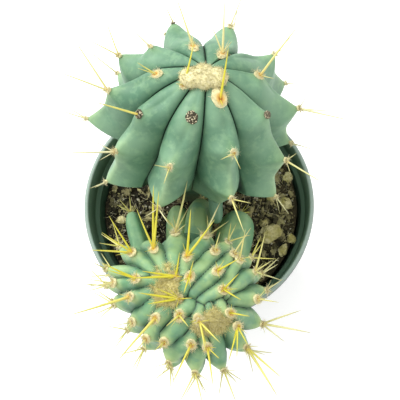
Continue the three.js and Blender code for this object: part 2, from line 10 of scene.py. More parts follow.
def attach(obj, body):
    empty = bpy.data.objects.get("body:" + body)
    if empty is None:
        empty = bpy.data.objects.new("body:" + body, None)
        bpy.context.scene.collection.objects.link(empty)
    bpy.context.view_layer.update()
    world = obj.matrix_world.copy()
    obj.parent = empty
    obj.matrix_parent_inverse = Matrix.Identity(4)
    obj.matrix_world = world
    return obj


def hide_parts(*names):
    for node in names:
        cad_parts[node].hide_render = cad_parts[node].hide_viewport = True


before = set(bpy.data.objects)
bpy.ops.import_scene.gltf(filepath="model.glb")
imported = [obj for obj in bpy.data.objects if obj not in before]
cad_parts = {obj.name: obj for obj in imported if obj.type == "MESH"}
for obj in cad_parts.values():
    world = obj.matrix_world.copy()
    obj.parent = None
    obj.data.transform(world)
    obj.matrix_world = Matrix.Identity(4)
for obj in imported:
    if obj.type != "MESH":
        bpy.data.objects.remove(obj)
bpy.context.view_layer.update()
MM = 0.001


# Pot: one injection moulding of dark green plastic, with a rolled rim, a ledge inside on which the
# next pot of the stack sat, and eight drain holes round the foot. Handling has scuffed it. The top of
# the rim and the ledge are painted paler as highlights, and the inner wall is painted with light.
POT_HEIGHT = 90 * MM
RIM_RADIUS = 54 * MM
RIM_LIP = 2 * MM
RIM_INNER_RADIUS = 50.9 * MM
RIM_DEPTH = 5.8 * MM
BASE_RADIUS = 38 * MM
POT_WALL = 1.4 * MM
FLOOR_THICKNESS = 1.6 * MM
LEDGE_HEIGHT = 77 * MM
LEDGE_STEP = 1.9 * MM
POT_STEPS = 192
EDGE_ROUNDING = 0.35 * MM
DRAIN_HOLES = 8
DRAIN_RADIUS = 3.5 * MM
DRAIN_CIRCLE = 27 * MM
DRILL_LENGTH = 10 * MM
WELD = 0.01 * MM
TURN = 2 * math.pi
shift = Matrix.Translation


def round_at(radius, angle):
    return radius * math.cos(angle), radius * math.sin(angle)


def turned_body(points, steps):
    """Spins a line through points (radius, height) about the Z axis into a closed body."""
    bm = bmesh.new()
    corners = [bm.verts.new((radius, 0, height)) for radius, height in points]
    line = corners + [bm.edges.new(pair) for pair in zip(corners, corners[1:])]
    bmesh.ops.spin(bm, geom=line, cent=(0, 0, 0), axis=(0, 0, 1), angle=TURN, steps=steps, use_merge=True)
    bmesh.ops.remove_doubles(bm, verts=bm.verts, dist=WELD)
    bmesh.ops.recalc_face_normals(bm, faces=bm.faces)
    return bm


def cone(bm, place, sides, height=1, foot=1, tip=1):
    """Adds a closed cone or post, centred on a place."""
    bmesh.ops.create_cone(
        bm, cap_ends=True, segments=sides, radius1=foot, radius2=tip, depth=height, matrix=place
    )


def mesh_from(bm, name):
    mesh = bpy.data.meshes.new(name)
    bm.to_mesh(mesh)
    bm.free()
    return mesh


def in_scene(name, data):
    """A mesh, a light or a camera as an object of the scene."""
    made = bpy.data.objects.new(name, data)
    bpy.context.collection.objects.link(made)
    return made


def piece_from(bm, name, smooth=True):
    """A finished bmesh as an object that rides with the pot."""
    piece = in_scene(name, mesh_from(bm, name))
    if smooth:
        piece.data.shade_smooth()
    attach(piece, "root")
    return piece


def settle(piece):
    """Makes what a piece's modifiers show its own mesh."""
    shown = piece.evaluated_get(bpy.context.evaluated_depsgraph_get())
    mesh = bpy.data.meshes.new_from_object(shown)
    piece.modifiers.clear()
    piece.data = mesh


pot_skirt = POT_HEIGHT - RIM_DEPTH
lip_radius = RIM_RADIUS - RIM_LIP
ledge_radius = RIM_INNER_RADIUS - 1 * MM
bm = turned_body([
    (0, 0),
    (BASE_RADIUS - 1.5 * MM, 0),
    (BASE_RADIUS, 1.5 * MM),
    (ledge_radius, LEDGE_HEIGHT),
    (ledge_radius + LEDGE_STEP, LEDGE_HEIGHT + 2 * MM),
    (RIM_INNER_RADIUS + 1.6 * MM, pot_skirt),
    (RIM_RADIUS - 0.6 * MM, pot_skirt),
    (RIM_RADIUS, pot_skirt + 0.8 * MM),
    (RIM_RADIUS, POT_HEIGHT - 0.8 * MM),
    (RIM_RADIUS - 0.7 * MM, POT_HEIGHT),
    (lip_radius + 0.5 * MM, POT_HEIGHT),
    (lip_radius, POT_HEIGHT - 0.5 * MM),
    (RIM_INNER_RADIUS - 0.5 * MM, LEDGE_HEIGHT + 2.4 * MM),
    (ledge_radius - POT_WALL, LEDGE_HEIGHT + 0.6 * MM),
    (BASE_RADIUS - POT_WALL, FLOOR_THICKNESS + 0.4 * MM),
    (BASE_RADIUS - POT_WALL - 0.6 * MM, FLOOR_THICKNESS),
    (0, FLOOR_THICKNESS),
], POT_STEPS)
sharp = [edge for edge in bm.edges if edge.is_manifold and edge.calc_face_angle() > math.radians(12)]
bmesh.ops.bevel(bm, geom=sharp, offset=EDGE_ROUNDING, segments=3, profile=0.5, affect="EDGES", material=-1)
pot = piece_from(bm, "nursery_pot")

bm = bmesh.new()
for hole in range(DRAIN_HOLES):
    place = shift((*round_at(DRAIN_CIRCLE, TURN * (hole + 0.5) / DRAIN_HOLES), 0))
    cone(bm, place, 32, DRILL_LENGTH, DRAIN_RADIUS, DRAIN_RADIUS)
drill = piece_from(bm, "drain_drill")
cut = pot.modifiers.new("drain_holes", "BOOLEAN")
cut.operation = "DIFFERENCE"
cut.solver = "EXACT"
cut.object = drill
settle(pot)
bpy.data.objects.remove(drill)
pot.data.set_sharp_from_angle(angle=math.radians(40))
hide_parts("pot")


def mark(mesh, **marks):
    """Writes one number for each corner under each name, for the finish to read."""
    for name, values in marks.items():
        field = mesh.attributes.get(name) or mesh.attributes.new(name, "FLOAT", "POINT")
        field.data.foreach_set("value", np.broadcast_to(values, len(mesh.vertices)).astype(np.float32))


# The inner wall is painted paler than the outer one, and palest towards the rim: painted light and
# reflection from the sky
mark(pot.data, inside=[corner.normal.xy.dot(corner.co.xy) < 0 for corner in pot.data.vertices])


class Wire:
    """One socket of a finish. Arithmetic on it adds Math nodes."""

    def __init__(self, finish, socket):
        self.finish = finish
        self.socket = socket

    def math(self, operation, first, second):
        return self.finish.node("ShaderNodeMath", {"operation": operation}, {0: first, 1: second})

    def __add__(self, other):
        return self.math("ADD", self, other)

    def __rsub__(self, other):
        return self.math("SUBTRACT", other, self)

    def __mul__(self, other):
        return self.math("MULTIPLY", self, other)

    def ramp(self, low, high):
        """0 up to low, 1 from high, and smooth between them. High may be the lower one."""
        settings = {"interpolation_type": "SMOOTHSTEP"}
        if low < high:
            return self.finish.node("ShaderNodeMapRange", settings, {"Value": self, 1: low, 2: high})
        return 1 - self.finish.node("ShaderNodeMapRange", settings, {"Value": self, 1: high, 2: low})

    __radd__ = __add__
    __rmul__ = __mul__


class Finish:
    """A material in the making: a Principled shader and the nodes that feed it."""

    def __init__(self, name, shine=0.5, roughness=0.5, **constants):
        self.material = bpy.data.materials.new(name)
        self.material.use_nodes = True
        self.tree = self.material.node_tree
        self.shader = self.tree.nodes["Principled BSDF"]
        self.set(Roughness=roughness, Specular_IOR_Level=shine, **constants)

    def link(self, value, socket):
        if isinstance(value, Wire):
            self.tree.links.new(value.socket, socket)
        else:
            socket.default_value = value

    def node(self, kind, settings, inputs, output=0):
        made = self.tree.nodes.new(kind)
        for name, value in settings.items():
            setattr(made, name, value)
        for key, value in inputs.items():
            self.link(value, made.inputs[key])
        return Wire(self, made.outputs[output])

    def attribute(self, name):
        return self.node("ShaderNodeAttribute", {"attribute_name": name}, {}, "Fac")

    def place(self):
        return self.node("ShaderNodeTexCoord", {}, {}, "Object")

    def along(self, axis):
        """How far a point of the surface is along an axis of the piece."""
        return self.node("ShaderNodeSeparateXYZ", {}, {"Vector": self.place()}, axis)

    def noise(self, scale, detail=3.0, roughness=0.5, stretch=(1, 1, 1)):
        place = self.node("ShaderNodeMapping", {}, {"Vector": self.place(), "Scale": stretch})
        inputs = {"Vector": place, "Scale": scale, "Detail": detail, "Roughness": roughness}
        return self.node("ShaderNodeTexNoise", {}, inputs, "Fac")

    def mix(self, share, *colours):
        """Turns one colour into another. Each is a wire, or the three values of a paint."""
        first, second = (colour if isinstance(colour, Wire) else paint(*colour) for colour in colours)
        inputs = {"Factor": share, 6: first, 7: second}
        return self.node("ShaderNodeMix", {"data_type": "RGBA"}, inputs, 2)

    def layers(self, colour, **coats):
        """Lays coats of colour over a first one. Each is its share and its colour."""
        for share, coat in coats.values():
            colour = self.mix(share, colour, coat)
        return colour

    def set(self, **values):
        for socket, value in values.items():
            self.link(value, self.shader.inputs[socket.replace("_", " ")])

    def bump(self, height, distance, strength=1.0):
        inputs = {"Height": height, "Distance": distance, "Strength": strength}
        self.set(Normal=self.node("ShaderNodeBump", {}, inputs, "Normal"))

    def on(self, *pieces):
        for piece in pieces:
            piece.data.materials.clear()
            piece.data.materials.append(self.material)


def paint(red, green, blue):
    """A colour from its values in a picture that is lit a quarter too brightly: 0 to 255, and a
    little over for the palest."""
    return tuple(0.8 * (part / 255) ** 2.2 for part in (red, green, blue)) + (1.0,)


plastic = Finish("moulded_green_plastic", 0.45)
height = plastic.along("Z")
scuffs = plastic.noise(900, 4, 0.7, stretch=(1, 1, 0.12))
dust = plastic.noise(70, 5, 0.6)
# A painted highlight along the top of the rim, patchy with the scuffs; the rim is rougher there too
rim_wear = height.ramp(POT_HEIGHT - 1.1 * MM, POT_HEIGHT - 0.3 * MM)
# A painted highlight along the tilted ledge inside, broken up by the dust
ledge_wear = height.ramp(LEDGE_HEIGHT, LEDGE_HEIGHT + 0.7 * MM)
ledge_wear *= height.ramp(LEDGE_HEIGHT + 3.2 * MM, LEDGE_HEIGHT + 2.2 * MM)
# Painted light on the inner wall: darker low down by the ledge, paler up towards the rim
limed = plastic.mix(height.ramp(LEDGE_HEIGHT + 3 * MM, POT_HEIGHT), (72, 100, 80), (120, 152, 132))
inner = plastic.mix(ledge_wear * (0.2 + 0.5 * dust), limed, (108, 134, 116))
shell = plastic.layers(
    plastic.mix(dust.ramp(0.3, 0.8), (42, 66, 50), (50, 76, 59)),
    inside=(plastic.attribute("inside"), inner),
    scuffed=(scuffs.ramp(0.55, 0.75) * 0.25, (92, 116, 100)),
    # the rim's painted highlight
    worn=(rim_wear * (0.6 + 0.4 * scuffs), (160, 178, 166)),
)
plastic.set(Base_Color=shell, Roughness=0.3 + 0.16 * dust + 0.14 * rim_wear)
plastic.bump(scuffs + 0.5 * dust, 0.06 * MM, 0.4)
plastic.on(pot)


# Soil: damp peat and fine bark, filled to a finger below the rim and heaped to the right. The body
# is one mass; its top is strewn with crumbs, bark chips, white flecks of perlite and root fibres.
SOIL_LEVEL = 75.5 * MM
SOIL_HEAP = 2.6 * MM
SOIL_LUMP = 0.9 * MM
SOIL_GRIT = 1.1 * MM
WALL_GRIT = 0.55
OPEN_RADIUS = 40 * MM
DRY_REACH = 42 * MM
SOIL_STEPS = 224
SOIL_RINGS = 64
FIT_GAP = 0.35 * MM

# What lies on the soil: how many of each, and the least and greatest size in millimetres
CRUMBS, CRUMB_SIZES = 3600, (0.3, 0.95)
CHIPS, CHIP_SIZES = 760, (1.1, 3.1)
FIBRES, FIBRE_LENGTHS, FIBRE_RADII = 620, (2.5, 8), (0.07, 0.16)
FLECK_SHARE = 0.06

ANY_ANGLE = (0, 6.28)
random = np.random.default_rng(7)
draw = random.uniform


def soil_height(x, y):
    """The soil's level at a place, without its grit. The lumps are a few centimetres long."""
    a, b = x / MM, y / MM
    lumps = math.sin(a * 0.41 + 1.3) * math.cos(b * 0.37 - 0.6) + 0.6 * math.sin(a * 0.83 - b * 0.71)
    return SOIL_LEVEL + SOIL_HEAP * x / RIM_INNER_RADIUS + SOIL_LUMP * lumps


soil_edge = ledge_radius - POT_WALL - 2 * FIT_GAP
soil_foot = BASE_RADIUS - POT_WALL - 2.5 * FIT_GAP
soil_slope = (soil_edge - soil_foot) / LEDGE_HEIGHT
soil_shoulder = SOIL_LEVEL - SOIL_HEAP - 3 * MM
top_radius = soil_foot + soil_slope * soil_shoulder - 0.2 * MM
bm = turned_body([
    (0, FLOOR_THICKNESS + FIT_GAP),
    (soil_foot, FLOOR_THICKNESS + FIT_GAP),
    (soil_foot + soil_slope * (soil_shoulder - 1 * MM), soil_shoulder - 1 * MM),
    *[(top_radius * (1 - ring / SOIL_RINGS), SOIL_LEVEL) for ring in range(SOIL_RINGS + 1)],
], SOIL_STEPS)
for vert in bm.verts:
    if vert.co.z > SOIL_LEVEL - 0.5 * MM:
        x, y = vert.co.xy
        grit = noise.fractal(Vector((x, y, 0)) * 420, 0.7, 2.0, 4)
        grit += 0.4 * noise.noise(Vector((x, y, 3)) * 1700)
        coarse = SOIL_GRIT * (grit - 0.2) * (WALL_GRIT if vert.co.xy.length > OPEN_RADIUS else 1)
        vert.co.z = soil_height(x, y) + coarse
soil = piece_from(bm, "peat_soil")
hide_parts("soil")


def globe(level):
    bm = bmesh.new()
    bmesh.ops.create_icosphere(bm, subdivisions=level, radius=1)
    return bm


def ball(level, squash=(1, 1, 1), rough=0.0, seed=0, spread=1.3):
    """A small round lump as a mesh to copy: its corners are pushed in and out by noise."""
    bm = globe(level)
    for vert in bm.verts:
        vert.co *= 1 + rough * noise.noise(vert.co * spread + Vector((seed * 7.3, 1.7, -seed)))
        vert.co *= Vector(squash)
    return mesh_from(bm, "lump")


def cut_across(bm, height, cuts):
    """Cuts the sides of a post across. They rise by more than half its height."""
    rising = [edge for edge in bm.edges if abs(edge.verts[0].co.z - edge.verts[1].co.z) > height / 2]
    bmesh.ops.subdivide_edges(bm, edges=rising, cuts=cuts, use_grid_fill=True)


def strand(sides, segments, tip=0.25):
    """A straight strand of unit length along Z as a mesh to copy, to be bent to its place."""
    bm = bmesh.new()
    cone(bm, shift((0, 0, 0.5)), sides, tip=tip)
    cut_across(bm, 1, segments - 1)
    return mesh_from(bm, "strand")


def corners_of(mesh):
    """The places of a mesh's corners, one row each."""
    places = np.empty(len(mesh.vertices) * 3, np.float32)
    mesh.vertices.foreach_get("co", places)
    return places.reshape(-1, 3).astype(float)


def move_corners(mesh, places):
    mesh.vertices.foreach_set("co", np.ascontiguousarray(places, np.float32).ravel())


def moved(places, matrix):
    matrix = np.array(matrix)
    return places @ matrix[:3, :3].T + matrix[:3, 3]


class Heap:
    """Many copies of small meshes, gathered in one piece."""

    def __init__(self):
        self.bm = bmesh.new()

    def add(self, template, place, **marks):
        """Adds a copy of a template at a place, which is a matrix or the places of all its corners."""
        rest = corners_of(template)
        move_corners(template, moved(rest, place) if isinstance(place, Matrix) else place)
        mark(template, **marks)
        self.bm.from_mesh(template)
        move_corners(template, rest)

    def piece(self, name, smooth=True):
        return piece_from(self.bm, name, smooth)


def stretched(sizes):
    return Matrix.Diagonal((*sizes, 1))


def turned(sizes, *angles):
    """A matrix that stretches a template by three sizes and turns it by three angles."""
    about_x, about_y, about_z = (Matrix.Rotation(angle, 4, axis) for angle, axis in zip(angles, "XYZ"))
    return about_z @ about_y @ about_x @ stretched(sizes)


def soil_spot(radius_share):
    """An even scatter of places on the soil inside the pot."""
    return round_at(top_radius * radius_share * math.sqrt(random.random()), draw(0, TURN))


crumb_shapes = [ball(1, (1, 0.75, 0.6), 0.9, seed) for seed in range(4)]
chip_shapes = [ball(2, (1, 0.5, 0.26), 1.1, seed + 10, 1.7) for seed in range(5)]
litter = Heap()
for _ in range(CRUMBS):
    x, y = soil_spot(0.985)
    size = draw(*CRUMB_SIZES) * MM
    pose = turned((size, size, size), *draw(*ANY_ANGLE, 3))
    place = shift((x, y, soil_height(x, y) + 0.25 * size)) @ pose
    shade = random.random() ** 2 + 0.35 * max(0, x / DRY_REACH)
    crumb = crumb_shapes[random.integers(4)]
    litter.add(crumb, place, shade=shade, fleck=random.random() < FLECK_SHARE)
for _ in range(CHIPS):
    x, y = soil_spot(0.96)
    size = draw(*CHIP_SIZES) * MM
    sizes = (size, size * draw(0.6, 1.2), size)
    pose = turned(sizes, *random.normal(0, 0.45, 2), draw(*ANY_ANGLE))
    place = shift((x, y, soil_height(x, y) + 0.35 * MM)) @ pose
    chip = chip_shapes[random.integers(5)]
    litter.add(chip, place, shade=random.random() ** (1.2 if x > 0 else 2.4), fleck=0)
crumbs = litter.piece("soil_crumbs", smooth=False)

fibre_shape = strand(4, 7)
fibre_x, fibre_y, fibre_z = corners_of(fibre_shape).T
fibres = Heap()
for _ in range(FIBRES):
    x, y = soil_spot(0.95)
    length = draw(*FIBRE_LENGTHS) * MM
    course, bend = draw(0, TURN), random.normal(0, 0.35)
    thick, arch = draw(*FIBRE_RADII) * MM, draw(0.02, 0.14)
    along = fibre_z - 0.5
    forward = along * length
    aside = bend * (along**2 - 0.1) * length + fibre_x * thick
    lift = arch * length * (1 - 4 * along**2) + fibre_y * thick
    c, s = round_at(1, course)
    rise = soil_height(x, y) + 0.6 * MM
    laid = np.stack([x + c * forward - s * aside, y + s * forward + c * aside, rise + lift], 1)
    fibres.add(fibre_shape, laid, shade=random.random() ** 0.7)
fibre = fibres.piece("root_fibres")

peat = Finish("damp_peat", 0.25)
coarse = peat.noise(260, 6, 0.68)
fine = peat.noise(1400, 3, 0.6)
damp = peat.layers(
    peat.mix(coarse.ramp(0.35, 0.7), (22, 20, 13), (66, 58, 40)),
    dried=(peat.along("X").ramp(0, DRY_REACH) * 0.3, (92, 86, 58)),
    gritty=(fine.ramp(0.6, 0.72) * 0.7, (132, 124, 88)),
)
peat.set(Base_Color=damp, Roughness=0.95 - 0.25 * coarse)
peat.bump(coarse + 0.4 * fine, 0.5 * MM, 0.9)
peat.on(soil)

bark = Finish("bark_and_peat_crumbs", 0.3)
grain = bark.noise(1100, 4, 0.65)
brown = bark.layers(
    bark.mix(bark.attribute("shade").ramp(0.1, 0.95), (32, 32, 20), (176, 168, 118)),
    grained=(grain.ramp(0.5, 0.75) * 0.5, (148, 138, 98)),
    flecked=(bark.attribute("fleck"), (205, 200, 176)),
)
bark.set(Base_Color=brown, Roughness=0.8 + 0.15 * grain)
bark.bump(grain, 0.25 * MM, 0.8)
bark.on(crumbs)

straw = Finish("dry_root_fibre", roughness=0.7)
tint = straw.noise(600, 2)
pale = straw.attribute("shade") * 0.8 + tint * 0.3
straw.set(Base_Color=straw.mix(pale, (66, 58, 38), (222, 216, 176)))
straw.bump(tint, 0.05 * MM)
straw.on(fibre)


# Stones: rough tan gravel and one large chip, which lie pressed a little into the soil.
# Each is split stone, so its faces are broad and its edges are worn.
STONE_RISE = 0.35
STONE_FACES = 15
STONE_DEPTHS = (0.72, 1.0)
STONE_REACH = 1.12
STONE_PITS = 0.12

# Each stone's place in millimetres, its half sizes, and its turn in degrees
STONES = [
    ((33, -13), (6.8, 4.4, 2.0), 35),
    ((30.8, -7.2), (2.1, 1.9, 1.6), 0),
    ((43.6, -15.4), (2.2, 2.3, 1.7), 20),
    ((39.6, -20.6), (3.0, 2.0, 1.6), 60),
    ((41.2, 2.2), (2.6, 3.1, 1.8), 10),
    ((42.2, 14.4), (3.0, 2.4, 1.8), 75),
    ((34.5, 4.8), (2.4, 2.0, 1.5), 130),
    ((-38.4, -4.5), (2.6, 2.0, 1.5), 15),
    ((-34, 22.5), (3.2, 2.3, 1.8), 100),
    ((12, -41), (2.8, 2.1, 1.6), 45),
]

gravel = Finish("tan_gravel", 0.3)
patches = gravel.noise(230, 4, 0.6)
grain = gravel.noise(1100, 5, 0.7)
tan = gravel.mix(patches.ramp(0.35, 0.65), (196, 186, 112), (250, 240, 180))
pitted = gravel.mix(grain.ramp(0.54, 0.68) * 0.7, tan, (100, 88, 58))
gravel.set(Base_Color=pitted, Roughness=0.78 + 0.2 * grain)
gravel.bump(grain + patches, 0.8 * MM)


def unit(rows):
    """Rows of three numbers as directions of length 1."""
    return rows / np.linalg.norm(rows, axis=1)[:, None]


def soften(bm):
    bmesh.ops.smooth_vert(bm, verts=bm.verts, factor=0.5, use_axis_x=True, use_axis_y=True, use_axis_z=True)


for number, ((x, y), size, turn) in enumerate(STONES, 1):
    bm = globe(5)
    split = np.random.default_rng(number)
    facing = unit(split.normal(size=(STONE_FACES, 3)))
    depths = split.uniform(*STONE_DEPTHS, STONE_FACES)
    seed = Vector((number * 3.1, -number * 1.7, 0))
    for vert in bm.verts:
        flat = np.min(depths / np.maximum(facing @ vert.co, 0.2))
        vert.co *= min(flat, STONE_REACH) + STONE_PITS * noise.fractal(vert.co * 2.6 + seed, 0.6, 2.0, 4)
    soften(bm)
    place = Vector((x, y, 0)) * MM
    place.z = soil_height(*place.xy) + size[2] * STONE_RISE * MM
    shape = Matrix.Rotation(math.radians(turn), 4, "Z") @ stretched(Vector(size) * MM)
    bmesh.ops.transform(bm, matrix=shift(place) @ shape, verts=bm.verts)
    stone = piece_from(bm, f"gravel_{number}")
    gravel.on(stone)
    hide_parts(f"stone_{number}")


# Barrel head: one swollen stem with ten ribs. Each rib is broad at the crown and a sharp wedge lower
# down, and stands out in a tooth at every areole. Its skin is waxy, with a blue-grey bloom.
BARREL_MIDDLE = Vector((0.6, 28.7, 120)) * MM
BARREL_LEAN = Vector((0.167, 0.246, 1))
BARREL_RADIUS = 48 * MM
BARREL_DOME = 0.9
BARREL_UNDERSIDE = 0.58
BARREL_FURROW = 27 * MM
UNDERSIDE_FILL = 0.6
CROWN_SLOPE = 0.85
FURROW_SLOPE = 1.4
BARREL_TOOTH = 4.8 * MM
BARREL_HEEL = 5 * MM
HEEL_SPAN = 25
LONE_SADDLE = 13
BARREL_STEM_RADIUS = 19 * MM
BARREL_STEM_FOOT = Vector((0, 20, 58)) * MM
COLUMNS_PER_RIB = 28
BARREL_ROWS = 140

# Each rib's azimuth in degrees about the axis, how much narrower than its share it is, the polar
# angle at which its foot draws in, by what share the furrow after it is filled low down, and its
# areoles by their polar angle, each with how far the ridge is bent aside there and its spines, as the
# millimetres they reach to the right and to the back
BARREL_RIBS = {
    26: (1.1, 85, 0, {54: (8, [(7, 6)]), 88: (3, [(8, 2)])}),
    67: (1.3, 45, 0, {13: (-16, [(2, 20), (-4, 10), (4, 2)]), 45: (1, [(6, 12)]), 74: (0, [(3, 14)])}),
    112: (1.35, 50, 0, {15: (0, [(-6, 17)]), 46: (-2, [(-3, 5)]), 70: (-3, [(6, 10)])}),
    153: (1, 56, 0, {34: (-8, [(-7, 6)]), 54: (0, [(-5, 13), (-12, 5)]), 88: (-9, [(-12, 8)])}),
    183: (1, 86, 0, {24: (-1, [(-7, 3)]), 54: (-3, [(-12, 18), (-18, 5)]), 86: (-3, [(-7, 4), (-11, 2)])}),
    214: (1, 98, 0.5, {
        13: (5, [(5, 15)]), 40: (-3, [(-16, 3)]), 65: (1, [(-19, -3), (-7, 3)]), 98: (1, [(-6, -4)]),
    }),
    249: (1, 82, 0, {26: (5, []), 53: (0, [(-5, -1), (-2, -8)]), 81: (0, [(-1, 6), (5, -8), (-5, -5)])}),
    287: (1, 70, 0.55, {16: (6, [(4, 18)]), 44: (3, [(-5, -4)]), 70: (-1, [(8, -3), (5, -16)])}),
    321: (1, 97, 0, {38: (9, []), 67: (3, [(14, -12), (4, 1)]), 97: (-4, [(5, -9)])}),
    352: (1, 62, 0, {28: (12, [(15, 17)]), 62: (5, [(13, -4), (19.3, -9), (3, 3)]), 86: (-4, [(9, -4)])}),
}
ridges = np.array(list(BARREL_RIBS), float)
fills = np.array([rib[2] for rib in BARREL_RIBS.values()])
barrel_axis = BARREL_LEAN.normalized()
barrel_side = Vector((0, 1, 0)).cross(barrel_axis).normalized()
barrel_back = barrel_axis.cross(barrel_side)


def smooth(value, low, high):
    share = np.clip((value - low) / (high - low), 0, 1)
    return share * share * (3 - 2 * share)


def saddle(polar, areoles):
    """0 on an areole of a ridge and 1 halfway between two."""
    nearest = np.ones_like(polar)
    for i, areole in enumerate(areoles):
        above = abs(areole - areoles[i - 1]) / 2 if i else LONE_SADDLE
        below = abs(areoles[i + 1] - areole) / 2 if i + 1 < len(areoles) else LONE_SADDLE
        nearest = np.minimum(nearest, np.abs(polar - areole) / np.where(polar < areole, above, below))
    return nearest


def barrel_surface(azimuth, polar):
    """Places on the barrel, with each one's way from the ridge (0) to the furrow (1), its saddle,
    and the millimetres from it to the furrow."""
    azimuth, polar = np.atleast_1d(azimuth).astype(float), np.atleast_1d(polar).astype(float)
    offsets = (azimuth[:, None] - ridges + 540) % 360 - 180
    rib = np.abs(offsets).argmin(1)
    offset = offsets[np.arange(len(rib)), rib]
    beside = ridges[(rib + np.where(offset < 0, -1, 1)) % len(ridges)]
    half_gap = np.abs((beside - ridges[rib] + 540) % 360 - 180) / 2
    share = np.clip(np.abs(offset) / half_gap, 0, 1)
    between, heel, bend, across = (np.ones_like(polar) for _ in range(4))
    for i, (narrow, foot, _, areoles) in enumerate(BARREL_RIBS.values()):
        here = rib == i
        across[here] = np.minimum(1, share[here] * (1 + (narrow - 1) * smooth(polar[here], 25, 55)))
        between[here] = saddle(polar[here], list(areoles))
        heel[here] = BARREL_HEEL * smooth(polar[here], foot, foot + HEEL_SPAN)
        bend[here] = np.interp(polar[here], list(areoles), [aside for aside, _ in areoles.values()])
    wedge = smooth(polar, 12, 68)
    flank = (1 - across ** (2.3 - 1.2 * wedge)) ** (0.64 + 0.18 * wedge)
    tooth = BARREL_TOOTH * smooth(polar, 8, 40) * (1 - smooth(polar, 140, 170))
    dip = tooth * (1 - (1 - between) ** 1.5) * (1 - across)
    half_width = BARREL_RADIUS * np.sin(np.radians(polar)) * np.radians(half_gap)
    slope = CROWN_SLOPE + (FURROW_SLOPE - CROWN_SLOPE) * smooth(polar, 20, 60)
    fill = np.where(offset < 0, fills[rib - 1], fills[rib])
    depth = np.minimum(BARREL_FURROW, slope * half_width) * (1 - UNDERSIDE_FILL * smooth(polar, 100, 150))
    depth *= 1 - fill * smooth(polar, 65, 105)
    reach = BARREL_RADIUS - dip - heel - depth * (1 - flank)
    stretch = BARREL_DOME + (BARREL_UNDERSIDE - BARREL_DOME) * smooth(polar, 65, 115)
    height = np.cos(np.radians(polar)) * stretch
    turn = np.radians(azimuth + bend * (1 - share))
    round_about = np.outer(np.cos(turn), barrel_side) + np.outer(np.sin(turn), barrel_back)
    out = np.sin(np.radians(polar))[:, None] * round_about + height[:, None] * np.array(barrel_axis)
    return np.array(BARREL_MIDDLE) + reach[:, None] * out, across, between, (1 - share) * half_width / MM


def joined(*meshes):
    bm = bmesh.new()
    for mesh in meshes:
        bm.from_mesh(mesh)
    return bm


# The columns of the barrel's mesh crowd into the furrows, which are the narrowest
CROWDING = 1.4
count = COLUMNS_PER_RIB * len(ridges)
bm = bmesh.new()
bmesh.ops.create_uvsphere(bm, u_segments=count, v_segments=BARREL_ROWS, radius=1)
barrel_ball = mesh_from(bm, "barrel_ball")
directions = corners_of(barrel_ball)
column = np.rint(np.arctan2(directions[:, 1], directions[:, 0]) / TURN * count).astype(int) % count
start, stage = column // COLUMNS_PER_RIB, 2 * (column % COLUMNS_PER_RIB) / COLUMNS_PER_RIB - 1
closer = 0.5 + 0.5 * np.sign(stage) * np.abs(stage) ** CROWDING
gaps = (np.roll(ridges, -1) - ridges + 360) % 360
polar = np.degrees(np.arccos(np.clip(directions[:, 2], -1, 1)))
places, across, between, to_furrow = barrel_surface(ridges[start] + gaps[start] * closer, polar)
move_corners(barrel_ball, places)
# furrow and slit steer the painted shade of the furrows, and edge and tooth the painted highlights
mark(
    barrel_ball,
    furrow=across,
    slit=to_furrow,
    edge=(1 - across) ** 8 * smooth(polar, 35, 80),
    tooth=(1 - between) * (1 - across) ** 2,
    age=smooth(polar, 95, 160),
)
barrel = piece_from(joined(barrel_ball), "barrel_flesh")
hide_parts("barrel_head")

# The barrel's foot: the stem that goes down into the soil. It keeps the ribs' number as soft folds,
# spreads under the barrel and turns corky by the soil.
STEM_FLARE = 3 * MM

# The slit mark of flesh that is far from any furrow
OPEN_SLIT = 9


def aimed(direction):
    """A matrix that turns Z along a direction."""
    return direction.to_track_quat("Z", "Y").to_matrix().to_4x4()


def post(foot, head, radius, sides):
    bm = bmesh.new()
    line = head - foot
    cone(bm, shift((foot + head) / 2) @ aimed(line), sides, line.length, radius, radius)
    return bm


bm = post(BARREL_STEM_FOOT, BARREL_MIDDLE, BARREL_STEM_RADIUS, 120)
stem_line = BARREL_MIDDLE - BARREL_STEM_FOOT
cut_across(bm, stem_line.length, 48)
for vert in bm.verts:
    height = vert.co.z
    off = vert.co - (BARREL_STEM_FOOT + stem_line * (height - BARREL_STEM_FOOT.z) / stem_line.z)
    spread = smooth(height, 84 * MM, 112 * MM)
    fold = math.cos(len(BARREL_RIBS) * math.atan2(off.y, off.x)) * (0.3 + spread) * MM
    wrinkle = noise.noise(Vector((vert.co.x * 150, vert.co.y * 150, height * 600))) * 0.5 * MM
    vert.co += off.normalized() * (STEM_FLARE * spread + fold + wrinkle)
barrel_stem = piece_from(bm, "barrel_stem")
stem_age = 0.9 * smooth(-corners_of(barrel_stem.data)[:, 2], -100 * MM, -78 * MM)
# Besides its corky foot, the stem is painted as dark as flesh deep in a furrow: painted shade under the
# barrel
mark(barrel_stem.data, age=stem_age, furrow=0.9, slit=OPEN_SLIT)

# A short finger of flesh hangs from the barrel's foot, in front
FINGER_BLUNTNESS = 3
FINGER_FOLD = 0.03


